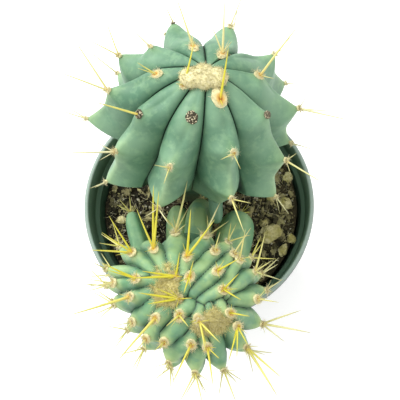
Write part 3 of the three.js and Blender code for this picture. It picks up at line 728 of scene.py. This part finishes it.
def finger(root, tip, width, height):
    """A blunt finger of flesh from its root to its tip, with soft folds along it, as a mesh."""
    root, tip = Vector(root) * MM, Vector(tip) * MM
    along = tip - root
    shape = stretched((width * MM, height * MM, along.length / 2 + 1 * MM))
    mesh = ball(5)
    x, y, z = unit(corners_of(mesh)).T
    girth = np.clip(1 - np.abs(z) ** FINGER_BLUNTNESS, 0, 1) ** (1 / FINGER_BLUNTNESS)
    fold = np.cos(6 * np.arctan2(y, x))
    girth *= (1 + FINGER_FOLD * fold) / np.maximum(np.hypot(x, y), 1e-6)
    place = shift((root + tip) / 2) @ aimed(along) @ shape
    move_corners(mesh, moved(np.stack([x * girth, y * girth, z], 1), place))
    # Painted shade in the folds and a painted highlight on the tip
    mark(mesh, furrow=0.28 - 0.18 * fold, slit=OPEN_SLIT, tooth=np.clip(z, 0, 1) ** 4 * 0.5)
    return mesh


barrel_finger = piece_from(joined(finger((8.5, 4, 114), (9.4, -12, 107), 3, 6)), "barrel_finger")
# The barrel's finger is painted dark all over: painted shade under the barrel
mark(barrel_finger.data, furrow=0.9)

flesh = Finish("waxy_cactus_skin", 0.35)
furrow = flesh.attribute("furrow")
tooth = flesh.attribute("tooth")
age = flesh.attribute("age")
cloud = flesh.noise(48, 4, 0.55)
mottle = flesh.noise(300, 4, 0.6)
pores = flesh.noise(2600, 2, 0.5)
young = flesh.attribute("young")
old = flesh.mix(cloud.ramp(0.36, 0.64), (90, 130, 102), (120, 158, 126))
fresh = flesh.mix(cloud.ramp(0.36, 0.64), (104, 150, 110), (156, 188, 130))
skin = flesh.layers(
    flesh.mix(young, old, fresh),
    blotched=(flesh.noise(150, 3, 0.6).ramp(0.48, 0.66) * (0.2 + 0.45 * young), (86, 138, 114)),
    speckled=(mottle.ramp(0.45, 0.7) * 0.35, (150, 186, 142)),
    # Painted highlights on the teeth, the tubercles and the lobes' tips, and along the barrel's ridges
    tender=(tooth.ramp(0.2, 0.9) * (0.4 + 0.3 * young), flesh.mix(young, (136, 174, 118), (188, 206, 142))),
    edged=(flesh.attribute("edge") * (0.3 + 0.35 * mottle), (184, 210, 158)),
    # Painted shade towards the furrows and in the slits at their bottoms
    valley=(furrow.ramp(0.4, 0.98) * (0.3 + 0.35 * young), (58, 104, 82)),
    groove=(flesh.attribute("slit").ramp(0.5, 0.1), (26, 52, 38)),
    corky=(age.ramp(0.1, 1.0) * (0.4 + 0.4 * mottle), (112, 108, 74)),
)
flesh.set(Base_Color=skin, Roughness=0.46 + 0.16 * mottle + 0.2 * age)
flesh.bump(mottle + 0.35 * pores, 0.12 * MM, 0.5)
flesh.on(barrel, barrel_stem, barrel_finger)


# Crested head: the growing point has become a wavy line, so many short ribs crowd along it and part
# where they run down. Four low, blunt ribs of its own stem reach out at the back, towards the barrel.
CREST_MIDDLE = Vector((-3, -47, 110.5)) * MM
CREST_SIDE = 34 * MM
CREST_FRONT = 33.5 * MM
CREST_BACK = 30 * MM
CREST_TOP = 29 * MM
CREST_UNDERSIDE = 17.5 * MM
CREST_WIDENING = 0.2
CREST_SKEW = 6 * MM
CREST_FURROW = 6.5 * MM
CREST_STEEPNESS = 0.85
CREST_TUBERCLE = 2.8 * MM
CREST_TUBERCLE_SPREAD = 4 * MM
CREST_RIDGE_END = 140
CREST_STEM_FOOT = Vector((-3, -25, 58)) * MM
CREST_STEM_HEAD = Vector((-4, -33, 104)) * MM
CREST_STEM_RADIUS = 16 * MM
AREOLE_STEP = 28

# Each rib from the growing line outwards: how far down it runs, then the stations of its ridge as
# azimuth and polar angle in degrees about the crest's middle. A station with a list is an areole,
# and the list holds its spines as the barrel's are given.
CREST_RIBS = [
    (60, [(125, 20), (112, 41, [(-7, 15), (1, 12), (0, 24), (3, 22)])]),
    (96, [(104, 21), (89, 62, [(7, 21), (5, 15), (5, 2)])]),
    (96, [(84, 17), (77, 30, [(2, 18), (12, 13)]), (69, 65, [(8, 14)])]),
    (92, [(45, 2), (61, 12, [(2, 6), (-2, -7)]), (54, 46, [(2, 7)])]),
    (60, [(350, 7), (33, 31, [(9, 4)]), (42, 58, [(7, 10)])]),
    (96, [(330, 16), (2, 29, [(7, -5), (6, 6)]), (17, 40), (35, 57, [(3, 12)])]),
    (110, [(359, 35), (11, 49), (21, 67, [(5, 15), (7, 4), (4, -3)])]),
    (112, [(352, 42), (356, 62, [(9, -2)]), (6, 86, [(7, 4)])]),
    (112, [(334, 37, [(8, -2)]), (338, 55), (340, 85, [(20, -4), (16, 5), (9, -8)])]),
    (112, [(326, 48, [(-3, -15), (0, -13), (4, -8)]), (318, 73, [(14, -13), (13, -20)])]),
    (0, [(329, 21), (314, 25)]),
    (0, [(340, 30), (330, 35)]),
    (0, [(313, 17), (290, 22, [(3, -11)]), (281, 32), (285, 44, [(3, -15), (5, -5)])]),
    (112, [(276, 56), (265, 73, [(-5, -12), (4, -12)])]),
    (0, [(290, 11), (250, 19, [(-5, -5), (4, -5)])]),
    (0, [(265, 25), (246, 35), (236, 47, [(-3, -4)])]),
    (112, [(276, 33), (267, 40, [(-7, -15)]), (242, 71, [(0, -4)])]),
    (112, [(297, 41), (296, 57), (291, 81, [(5, -13)])]),
    (112, [(216, 21), (217, 33, [(-14, -17)]), (220, 59, [(-5, -7)])]),
    (112, [(197, 29), (205, 41), (204, 58, [(-5, -2), (-2, -4)])]),
    (112, [(181, 29), (184, 44, [(-22, -9)])]),
    (112, [(155, 25), (161, 35, [(-13, 5), (-11, 3)]), (169, 60, [(-10, 1), (-10, -2)])]),
    (104, [(137, 31), (131, 50, [(-9, 14), (-12, 7), (-17, 0)])]),
    (112, [(151, 33), (155, 83, [(-5, 2)])]),
]

# The stem's low ribs: root, tip, half width and half height in millimetres, and the tip's spines
LOBES = [
    ((-21, -36, 98), (-30.3, -6.5, 96), 4.4, 8.0, [(-5, 5), (0, 6), (-5, 1)]),
    ((-8, -32, 96), (-9.5, -3, 91), 5.6, 8.0, []),
    ((-2, -32, 98), (2, -1, 97), 6.2, 9.0, [(3, -3)]),
    ((13, -34, 98), (19.5, -7, 95), 8.2, 10.5, [(5, 2)]),
]


def heading(azimuth, polar):
    """A unit direction from an azimuth and a polar angle in degrees."""
    tilt = math.radians(polar)
    return Vector((*round_at(math.sin(tilt), math.radians(azimuth)), math.cos(tilt)))


crest_ridges = []
crest_tubercles = []
for down, stations in CREST_RIBS:
    points = [heading(*station[:2]) for station in stations]
    crest_tubercles += [(heading(*station[:2]), station[2]) for station in stations if len(station) > 2]
    azimuth, last = stations[-1][:2]
    for polar in range(last + AREOLE_STEP, down + 1, AREOLE_STEP):
        points.append(heading(azimuth, polar))
        crest_tubercles.append((heading(azimuth, polar), []))
    if down > last:
        points.append(heading(azimuth, CREST_RIDGE_END))
    crest_ridges.append(np.array(points))


def distance_to_ridge(directions, ridge):
    """How far unit directions are from the nearest stretch of a ridge."""
    nearest = np.full(len(directions), np.inf)
    for a, b in zip(ridge, ridge[1:]):
        share = np.clip((directions - a) @ (b - a) / ((b - a) @ (b - a)), 0, 1)
        closest = unit(a + share[:, None] * (b - a))
        nearest = np.minimum(nearest, np.linalg.norm(closest - directions, axis=1))
    return nearest


def crest_surface(directions):
    """Places on the crest along unit directions, with each one's way from the ridge (0) to the
    furrow (1), its tubercle, and the millimetres from it to the furrow."""
    directions = np.atleast_2d(directions).astype(float)
    distances = np.sort([distance_to_ridge(directions, ridge) for ridge in crest_ridges], axis=0)
    across = np.clip(2 * distances[0] / (distances[0] + distances[1]), 0, 1)
    half_width = (distances[0] + distances[1]) / 2 * CREST_SIDE
    under = 1 - smooth(-directions[:, 2], 0.45, 0.85)
    flank = np.sqrt(1 - across**1.6)
    depth = np.minimum(CREST_FURROW, half_width * CREST_STEEPNESS) * (1 - flank) * under
    away = np.min([np.linalg.norm(directions - centre, axis=1) for centre, _ in crest_tubercles], axis=0)
    bump = np.exp(-((away * CREST_SIDE / CREST_TUBERCLE_SPREAD) ** 2))
    scale = 1 - (depth + CREST_TUBERCLE * (1 - bump) * under) / CREST_SIDE
    x, y, z = directions.T
    body = np.stack([
        x * CREST_SIDE * (1 + CREST_WIDENING * y) - CREST_SKEW * y,
        y * np.where(y < 0, CREST_FRONT, CREST_BACK),
        z * np.where(z < 0, CREST_UNDERSIDE, CREST_TOP),
    ], 1)
    return np.array(CREST_MIDDLE) + scale[:, None] * body, across, bump, (1 - across) * half_width / MM


crest_ball = mesh_from(globe(7), "crest_ball")
directions = unit(corners_of(crest_ball))
places, across, bump, to_furrow = crest_surface(directions)
move_corners(crest_ball, places)
crest_age = smooth(-directions[:, 2], 0.5, 1)
# tooth steers the painted highlight on the tubercles, and furrow and slit the painted shade of the furrows
mark(crest_ball, furrow=across, slit=1.3 * to_furrow, young=1, tooth=bump, age=crest_age)
lobes = [finger(*lobe[:4]) for lobe in LOBES]
for lobe in lobes:
    mark(lobe, young=1)
stem = mesh_from(post(CREST_STEM_FOOT, CREST_STEM_HEAD, CREST_STEM_RADIUS, 64), "crest_stem")
# The crest's stem is painted somewhat darker: painted shade under the crest
mark(stem, furrow=0.6, slit=OPEN_SLIT, age=np.where(corners_of(stem)[:, 2] < 80 * MM, 0.85, 0.1))
crest = piece_from(joined(crest_ball, *lobes, stem), "crest_flesh")
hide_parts("crest_head")
flesh.on(crest)


# Areoles: the cushions of felt on the ridges, from which the spines grow. Young ones are deep cream
# rings round an amber eye. Some old ones on the barrel are dry brown scabs with pale specks.
HAIRS_ROUND = 26
HAIR_RADIUS = 0.035
TUFTS = 5
TUFT_HAIRS = 5
CUSHION_WIDTH = 0.72
CUSHION_LEAST_RISE = 1.3 * MM
CUSHION_SUNK = 0.3 * MM
LONGEST_HAIR = 1.4 * MM
GRAINS_PER_MM = 30
CRUST_SPECK = 0.4

# How far down the ridge an eye is from its cushion's middle, as a share of the half length
BARREL_EYE = 0.2
CREST_EYE = -0.1

# The half lengths of the crest's cushions: on its top, on its sides, in its wool and on its low ribs
TOP_CUSHION = 2.9 * MM
SIDE_CUSHION = 2.0 * MM
WOOLLY_CUSHION = 2.2 * MM
LOBE_CUSHION = 1.6 * MM

# The barrel's cushions: the usual half length in millimetres by polar angle, those that differ by
# azimuth and polar angle, and how much the specks of each dry one stand out
CUSHION_SIZES = {10: 2.8, 30: 2.4, 45: 1.7, 90: 1.15}
CUSHIONS = {(287, 16): 4.3, (249, 26): 2.5, (321, 38): 1.7, (214, 40): 1.8, (112, 46): 0.9, (153, 34): 1.2}
SCABS = {(249, 26): 1, (321, 38): 0.45, (214, 40): 0.9, (112, 46): 0.5}

# Areoles that come up through the crest's wool, by azimuth and polar angle, with their spines
WOOLLY_AREOLES = [
    ((232, 8), [(-16, 1), (-12, -3), (-9, 4)]),
    ((106, 14), [(-17, -2), (2, 9), (-13, 1)]),
    ((290, 23), [(3, -12), (8, -9)]),
]


def axes(x, y, z):
    """A matrix that turns the axes to three directions."""
    return Matrix((x, y, z)).transposed().to_4x4()


class Areole:
    """A cushion's place, the way it faces, the way its ridge runs, its half length, and its spines."""

    def __init__(self, place, normal, ridge, size, spines, scab=0):
        self.place, self.normal = place, normal
        self.ridge = (ridge - ridge.dot(normal) * normal).normalized()
        self.size, self.spines, self.scab = size, spines, scab

    def matrix(self, sizes=(1, 1, 1), sunk=0.0):
        """Turns and stretches a template with Z up and Y along the ridge into the areole's place."""
        turn = axes(self.ridge.cross(self.normal), self.ridge, self.normal)
        return shift(self.place - sunk * self.normal) @ turn @ stretched(sizes)

    def aside(self, angle):
        """The ridge's way, turned about the way that the areole faces."""
        return Matrix.Rotation(angle, 3, self.normal) @ self.ridge


def stance(middle, spots, lift=0.0):
    """Of two spots down a ridge: the first one's place, lifted, the way it faces and the ridge's way."""
    place, further = (Vector(spot) for spot in spots)
    outward = (place - middle).normalized()
    return place + lift * outward, outward, further - place


barrel_areoles = []
for azimuth, (*_, areoles) in BARREL_RIBS.items():
    for polar, (_, spines) in areoles.items():
        spots, *_ = barrel_surface([azimuth, azimuth], [polar, polar + 4])
        usual = float(np.interp(polar, list(CUSHION_SIZES), list(CUSHION_SIZES.values())))
        size = CUSHIONS.get((azimuth, polar), usual) * MM
        scab = SCABS.get((azimuth, polar), 0)
        barrel_areoles.append(Areole(*stance(BARREL_MIDDLE, spots), size, spines, scab))

crest_areoles = []
for direction, spines in crest_tubercles:
    spots, *_ = crest_surface([direction, (direction - Vector((0, 0, 0.07))).normalized()])
    size = TOP_CUSHION if spines and direction.z > 0.4 else SIDE_CUSHION
    crest_areoles.append(Areole(*stance(CREST_MIDDLE, spots), size, spines))
for root, tip, _, _, spines in LOBES:
    outward = (Vector(tip) - Vector(root)).normalized()
    place = Vector(tip) * MM + 1 * MM * outward
    if spines:
        crest_areoles.append(Areole(place, outward, Vector((0, 0, -1)), LOBE_CUSHION, spines))
for (azimuth, polar), spines in WOOLLY_AREOLES:
    spots, *_ = crest_surface([heading(azimuth, polar), heading(azimuth, polar + 4)])
    crest_areoles.append(Areole(*stance(CREST_MIDDLE, spots, 1.5 * MM), WOOLLY_CUSHION, spines))


def cushion_with_eye(eye_along):
    """A felt cushion as a mesh to copy, with a dent for its eye."""
    cushion = ball(4, (CUSHION_WIDTH, 1, 0.62), 0.12, 5, 2.2)
    corners = corners_of(cushion)
    eye_spread = (corners[:, 0] / 0.46) ** 2 + ((corners[:, 1] - eye_along) / 0.6) ** 2
    eye_share = np.exp(-1.2 * eye_spread) * (corners[:, 2] > 0)
    corners[:, 2] -= 0.24 * eye_share
    move_corners(cushion, corners)
    mark(cushion, eye=eye_share)
    return cushion


hair_shape = strand(3, 3)
hair_x, hair_y, hair_z = corners_of(hair_shape).T
tufts = []
for _ in range(TUFTS):
    tuft = Heap()
    for _ in range(TUFT_HAIRS):
        lean, swing = draw(0.1, 0.75), draw(0, TURN)
        curl, long = draw(-0.5, 0.9), draw(0.6, 1.1)
        up = hair_z * long
        out = lean * up + curl * up**2
        c, s = round_at(1, swing)
        leant = np.stack([c * out + hair_x * HAIR_RADIUS, s * out + hair_y * HAIR_RADIUS, up - 0.1], 1)
        tuft.add(hair_shape, leant)
    tufts.append(mesh_from(tuft.bm, "tuft"))


def felt_on(areoles, name, eye_along):
    """Cushions of felt with short hairs that stand out round them."""
    cushion = cushion_with_eye(eye_along)
    cushions, hairs = Heap(), Heap()
    for areole in areoles:
        if areole.scab:
            continue
        size, tone = areole.size, random.random()
        sizes = (size, size, max(size * 0.62, CUSHION_LEAST_RISE))
        cushions.add(cushion, areole.matrix(sizes, CUSHION_SUNK), tone=tone)
        for step in range(HAIRS_ROUND):
            angle = TURN * step / HAIRS_ROUND + draw(-0.1, 0.1)
            share = draw(0.55, 0.95)
            x, y = round_at(1, angle)
            at = Vector((CUSHION_WIDTH * share * x, share * y, 0.5 - 0.4 * share)) * size
            grow = aimed(Vector((x, y, 0.55 + random.random())))
            length = draw(0.6, 1.1) * min(size, LONGEST_HAIR)
            root = areole.matrix() @ shift(at) @ grow
            root @= stretched((1.5 * length, 1.5 * length, length))
            hairs.add(tufts[random.integers(TUFTS)], root, tone=tone)
    return cushions.piece(name), hairs.piece(name + "_hair")


barrel_felt, barrel_felt_hair = felt_on(barrel_areoles, "barrel_felt", BARREL_EYE)
crest_felt, crest_felt_hair = felt_on(crest_areoles, "crest_felt", CREST_EYE)

felt = Finish("areole_felt", 0.1, 0.95)
eye = felt.attribute("eye")
nap = felt.noise(1500, 4, 0.7)
felt.set(Base_Color=felt.layers(
    felt.mix(nap.ramp(0.3, 0.7), (222, 212, 156), (246, 238, 188)),
    ring=(eye.ramp(0.15, 0.6) * 0.9, (222, 176, 92)),
    centre=(eye.ramp(0.6, 1.0), (164, 104, 50)),
))
felt.bump(nap, 0.35 * MM, 0.9)
felt.on(barrel_felt, crest_felt)

down = Finish("felt_hair", 0.15, 0.9)
down.set(Base_Color=down.mix(down.attribute("tone"), (226, 212, 160), (246, 238, 198)))
down.on(barrel_felt_hair, crest_felt_hair)

scab_shape = ball(3, (1, 1, 0.5), 0.3, 3, 2)
scabs = Heap()
for areole in barrel_areoles:
    if areole.scab:
        wide = areole.size
        crusted = areole.matrix((wide, wide, 0.5 * wide), 0.2 * MM)
        scabs.add(scab_shape, crusted, speck=CRUST_SPECK - 0.3 * areole.scab)
        for grain in range(round(GRAINS_PER_MM * wide / MM)):
            radius, angle = math.sqrt(random.random()) * wide, draw(0, TURN)
            size = draw(0.2, 0.4) * MM
            lift = 0.24 * wide * (1 - (radius / (1.15 * wide)) ** 2)
            at = shift((*round_at(radius, angle), lift))
            speck = draw(0.7, 1) if random.random() < 0.42 else random.random() * CRUST_SPECK
            speck = CRUST_SPECK + areole.scab * (speck - CRUST_SPECK)
            place = areole.matrix() @ at @ turned((size, size, size), *draw(0, 6, 3))
            scabs.add(crumb_shapes[grain % 4], place, speck=speck)
scab = scabs.piece("dry_areoles", smooth=False)
crust = Finish("dry_areole_crust", roughness=0.85)
crust.set(Base_Color=crust.mix(crust.attribute("speck").ramp(0, 1), (60, 54, 36), (226, 214, 178)))
crust.bump(crust.noise(2200, 3), 0.15 * MM)
crust.on(scab)


# Spines: hard and awl-shaped, amber at the root and yellow along the shaft, greyer on old areoles.
# Each grows out of the eye of its areole, and those of the crest are the brightest.
SHORTEST_SPINE = 9 * MM
LEAST_SLOPE = 0.35
SPINE_ROOT = 1.6 * MM
SPINE_TIP = 0.05 * MM
SPINE_BOW = (0.01, 0.05)
SPINE_STEPS = 10
FINE_SPINE = 0.65

# The lengths in millimetres of fine spines, and of those on areoles whose spines aren't given
FINE_LENGTHS = (4, 8)
PLAIN_LENGTHS = (8, 13)

# A spine's half thickness in millimetres, and what each millimetre of its length adds to that
SPINE_GIRTH, GIRTH_GAIN = 0.16, 0.014
spine_shape = strand(6, SPINE_STEPS, tip=1)
spine_x, spine_y, spine_z = corners_of(spine_shape).T
mark(spine_shape, along=spine_z)
skins = [BVHTree.FromBMesh(joined(piece.data)) for piece in (barrel, crest, soil, pot)]


def spine_direction(reach, normal):
    """A spine reaches as it is seen from above, and rises so that it stands clear of the skin."""
    plan = math.hypot(*reach) * MM
    length = max(SHORTEST_SPINE, plan * 1.12)
    rise = math.sqrt(max(0, length**2 - plan**2)) * (-1 if normal.z < -0.1 else 1)
    direction = Vector((reach[0] * MM, reach[1] * MM, rise))
    slope = direction.dot(normal) / length
    if slope < LEAST_SLOPE:
        direction += normal * (LEAST_SLOPE - slope) * length
    return direction.normalized() * length


def clear(root, direction):
    """A spine that would run into the skin or the soil is bent up until it is clear."""
    length = direction.length
    for bend in range(8):
        bent = (direction + Vector((0, 0, 0.16 * bend * length))).normalized()
        if not any(skin.ray_cast(root + 2 * MM * bent, bent, length)[0] for skin in skins):
            break
    return bent * length


def spines_on(areoles, name, young, fine, stout, eye_along):
    """The spines of a head: how yellow they are, how many fine ones an areole has, how thick the
    others are, and where the eyes are from which they grow."""
    spines = Heap()
    for areole in areoles:
        normal = areole.normal
        directions = [spine_direction(reach, normal) for reach in areole.spines]
        stated = len(directions)
        for number in range(fine if directions and not areole.scab else 0):
            aside = areole.aside(2.1 * number + draw(-0.7, 0.7))
            lean = normal * draw(0.5, 1.1) + aside + Vector((0, 0, 0.1))
            directions.append(lean.normalized() * draw(*FINE_LENGTHS) * MM)
        if not directions and not areole.scab:
            for turn in (0.4, 2.5, 4.6):
                lean = normal + 0.75 * areole.aside(turn + draw(-0.4, 0.4)) + Vector((0, 0, 0.2))
                directions.append(lean.normalized() * draw(*PLAIN_LENGTHS) * MM)
        root = areole.matrix((areole.size, areole.size, areole.size)) @ Vector((0, eye_along, 0))
        tone = np.clip(young + 1.4 * max(normal.z - 0.5, 0) + random.normal(0, 0.2), 0, 1)
        for number, direction in enumerate(directions):
            direction = clear(root, direction)
            length, ahead = direction.length, direction.normalized()
            side = ahead.orthogonal().normalized()
            thick = FINE_SPINE if 0 < stated <= number else stout
            thick = thick * (SPINE_GIRTH + GIRTH_GAIN * length / MM) * MM
            thick *= 1 + 0.9 * max(normal.z - 0.6, 0)
            bow = Matrix.Rotation(draw(*ANY_ANGLE), 3, ahead) @ side
            bow = bow * length * draw(*SPINE_BOW)
            girth = thick * (1 - spine_z) ** 0.6 * (1 + 0.35 * np.exp(-((spine_z / 0.05) ** 2))) + SPINE_TIP
            run = spine_z * (length + SPINE_ROOT) - SPINE_ROOT
            line = np.array(root) + np.outer(run, ahead) + np.outer(spine_z**2, bow)
            round_about = np.outer(spine_x, side) + np.outer(spine_y, ahead.cross(side))
            grown = line + girth[:, None] * round_about
            spines.add(spine_shape, grown, tone=tone + random.normal(0, 0.05))
    return spines.piece(name)


barrel_spines = spines_on(barrel_areoles, "barrel_spines", 0.05, 1, 0.92, BARREL_EYE)
crest_spines = spines_on(crest_areoles, "crest_spines", 0.5, 3, 1.15, CREST_EYE)
horn = Finish("yellow_spine", roughness=0.38)
along = horn.attribute("along")
tone = horn.attribute("tone")
rings = horn.noise(900, 2, 0.5)
horn.set(Base_Color=horn.layers(
    horn.mix(tone, (226, 222, 170), (214, 206, 50)),
    rooted=(along.ramp(0.26, 0.0) * (0.25 + 0.45 * tone), (208, 142, 34)),
    tipped=(along.ramp(0.6, 1.0) * (0.75 - 0.4 * tone), (158, 156, 104)),
    ringed=(rings.ramp(0.5, 0.7) * 0.12, (186, 164, 84)),
))
horn.bump(rings, 0.05 * MM, 0.4)
horn.on(barrel_spines, crest_spines)


# Wool: the loose pale fleece that covers the growing points, one mass on the barrel's crown and two
# along the crest. Each is a soft lump with curly hairs grown out of it.
WOOL_VOXEL = 0.5 * MM
WOOL_TUFTS = 800
LOCK_SIZES = Vector((2.8 * MM, 2.8 * MM, 1.7 * MM))

# How deep the clumps of the wool are, in millimetres
WOOL_CLUMP = 0.28

# A lump is three balls in a row: how far along each is, its width and its height, as shares
LUMP_BALLS = [(-0.55, 0.82, 0.85), (0, 1, 1), (0.55, 0.82, 0.85)]

# Each wool's name, its place, its head's middle, its half sizes in millimetres, its turn in degrees,
# how pale it is, and how long its hairs are
WOOLS = [
    ("crown_wool", barrel_surface(250, 5), BARREL_MIDDLE, (8.8, 5.6, 3.2), 0, 0.9, 0.5),
    ("crest_wool_left", crest_surface(heading(159, 15)), CREST_MIDDLE, (8.5, 7.0, 3.0), 95, 0.2, 1),
    ("crest_wool_front", crest_surface(heading(310, 32)), CREST_MIDDLE, (7.6, 5.2, 3.0), 10, 0.3, 1),
]

fleece = Finish("pale_wool", 0.1, 0.95)
curl = fleece.noise(1300, 4, 0.65)
yellow = fleece.mix(curl.ramp(0.3, 0.7), (218, 204, 118), (264, 254, 184))
pale = fleece.mix(curl.ramp(0.3, 0.7), (228, 220, 166), (242, 234, 194))
fleece.set(Base_Color=fleece.mix(fleece.attribute("tone"), yellow, pale))
fleece.bump(curl, 0.1 * MM, 0.4)

for name, (spots, *_), middle, (length, width, height), turn, paleness, shag in WOOLS:
    centre = Vector(spots[0])
    normal = (centre - middle).normalized()
    along = Vector((*round_at(1, math.radians(turn)), 0))
    along = (along - along.dot(normal) * normal).normalized()
    bm = bmesh.new()
    for step, broad, high in LUMP_BALLS:
        sizes = Vector((length * 0.55, width * broad, height * high)) * MM
        offset = shift((step * length * MM, draw(-0.1, 0.1) * width * MM, 0))
        place = shift(centre) @ axes(along, normal.cross(along), normal) @ offset
        bmesh.ops.create_icosphere(bm, subdivisions=4, radius=1, matrix=place @ stretched(sizes))
    lump = piece_from(bm, name + "_lump")
    remesh = lump.modifiers.new("one_lump", "REMESH")
    remesh.mode = "VOXEL"
    remesh.voxel_size = WOOL_VOXEL
    settle(lump)
    bm = joined(lump.data)
    soften(bm)
    bm.normal_update()
    for vert in bm.verts:
        vert.co += vert.normal * noise.fractal(vert.co * 200, 0.8, 2.0, 3) * WOOL_CLUMP * shag * MM
    roots = [face for face in bm.faces if face.normal.dot(normal) > -0.1]
    hairs = Heap()
    for number in random.choice(len(roots), WOOL_TUFTS):
        root = roots[number]
        grow = aimed((root.normal + Vector(random.normal(0, 0.7, 3))).normalized())
        place = shift(root.calc_center_median()) @ grow
        place @= stretched(LOCK_SIZES * shag * draw(0.7, 1.3))
        hairs.add(tufts[random.integers(TUFTS)], place, tone=paleness + draw(-0.4, 0.4))
    bm.to_mesh(lump.data)
    bm.free()
    lump.data.shade_smooth()
    mark(lump.data, tone=paleness)
    hair = hairs.piece(name + "_hair")
    fleece.on(lump, hair)
    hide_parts(name)


# The set: a plain white table under two soft lights, seen from nearly straight above, as a grower's
# product picture is taken. None of it is part of the plant.
TABLE_REACH = 3
LIGHTS = {"key": (13, 0.8, (-0.45, 0.5, 0.85)), "fill": (1, 1.0, (0.5, -0.3, 0.8))}
LIT_PLACE = Vector((0, 0, 0.1))
SKY_STRENGTH = 1.05
CAMERA_PLACE = Vector((25.005, -92.885, 498.836)) * MM
CAMERA_TARGET = Vector((0.8623, 1.5073, 90.29)) * MM
CAMERA_LENS = 80.71

bm = bmesh.new()
bmesh.ops.create_grid(bm, x_segments=2, y_segments=2, size=TABLE_REACH)
table = in_scene("table", mesh_from(bm, "table"))
white = Finish("white_table", roughness=0.8, Emission_Color=(1, 1, 1, 1), Emission_Strength=0.2)
white.set(Base_Color=(0.95, 0.95, 0.94, 1))
white.on(table)
world = bpy.data.worlds.new("studio")
bpy.context.scene.world = world
world.use_nodes = True
sky = world.node_tree.nodes["Background"].inputs
sky["Color"].default_value = (1, 1, 1, 1)
sky["Strength"].default_value = SKY_STRENGTH
bpy.context.scene.view_settings.view_transform = "Standard"
for name, (energy, size, at) in LIGHTS.items():
    light = bpy.data.lights.new(name, "AREA")
    light.energy = energy
    light.size = size
    lamp = in_scene(name, light)
    lamp.location = at
    lamp.rotation_mode = "QUATERNION"
    lamp.rotation_quaternion = (LIT_PLACE - lamp.location).to_track_quat("-Z", "Y")
camera = in_scene("camera", bpy.data.cameras.new("camera"))
bpy.context.scene.camera = camera
camera.data.lens = CAMERA_LENS
camera.data.clip_start = 0.01
ahead = (CAMERA_TARGET - CAMERA_PLACE).normalized()
up = (Vector((0, 1, 0)) - ahead.y * ahead).normalized()
camera.matrix_world = shift(CAMERA_PLACE) @ axes(ahead.cross(up), up, -ahead)
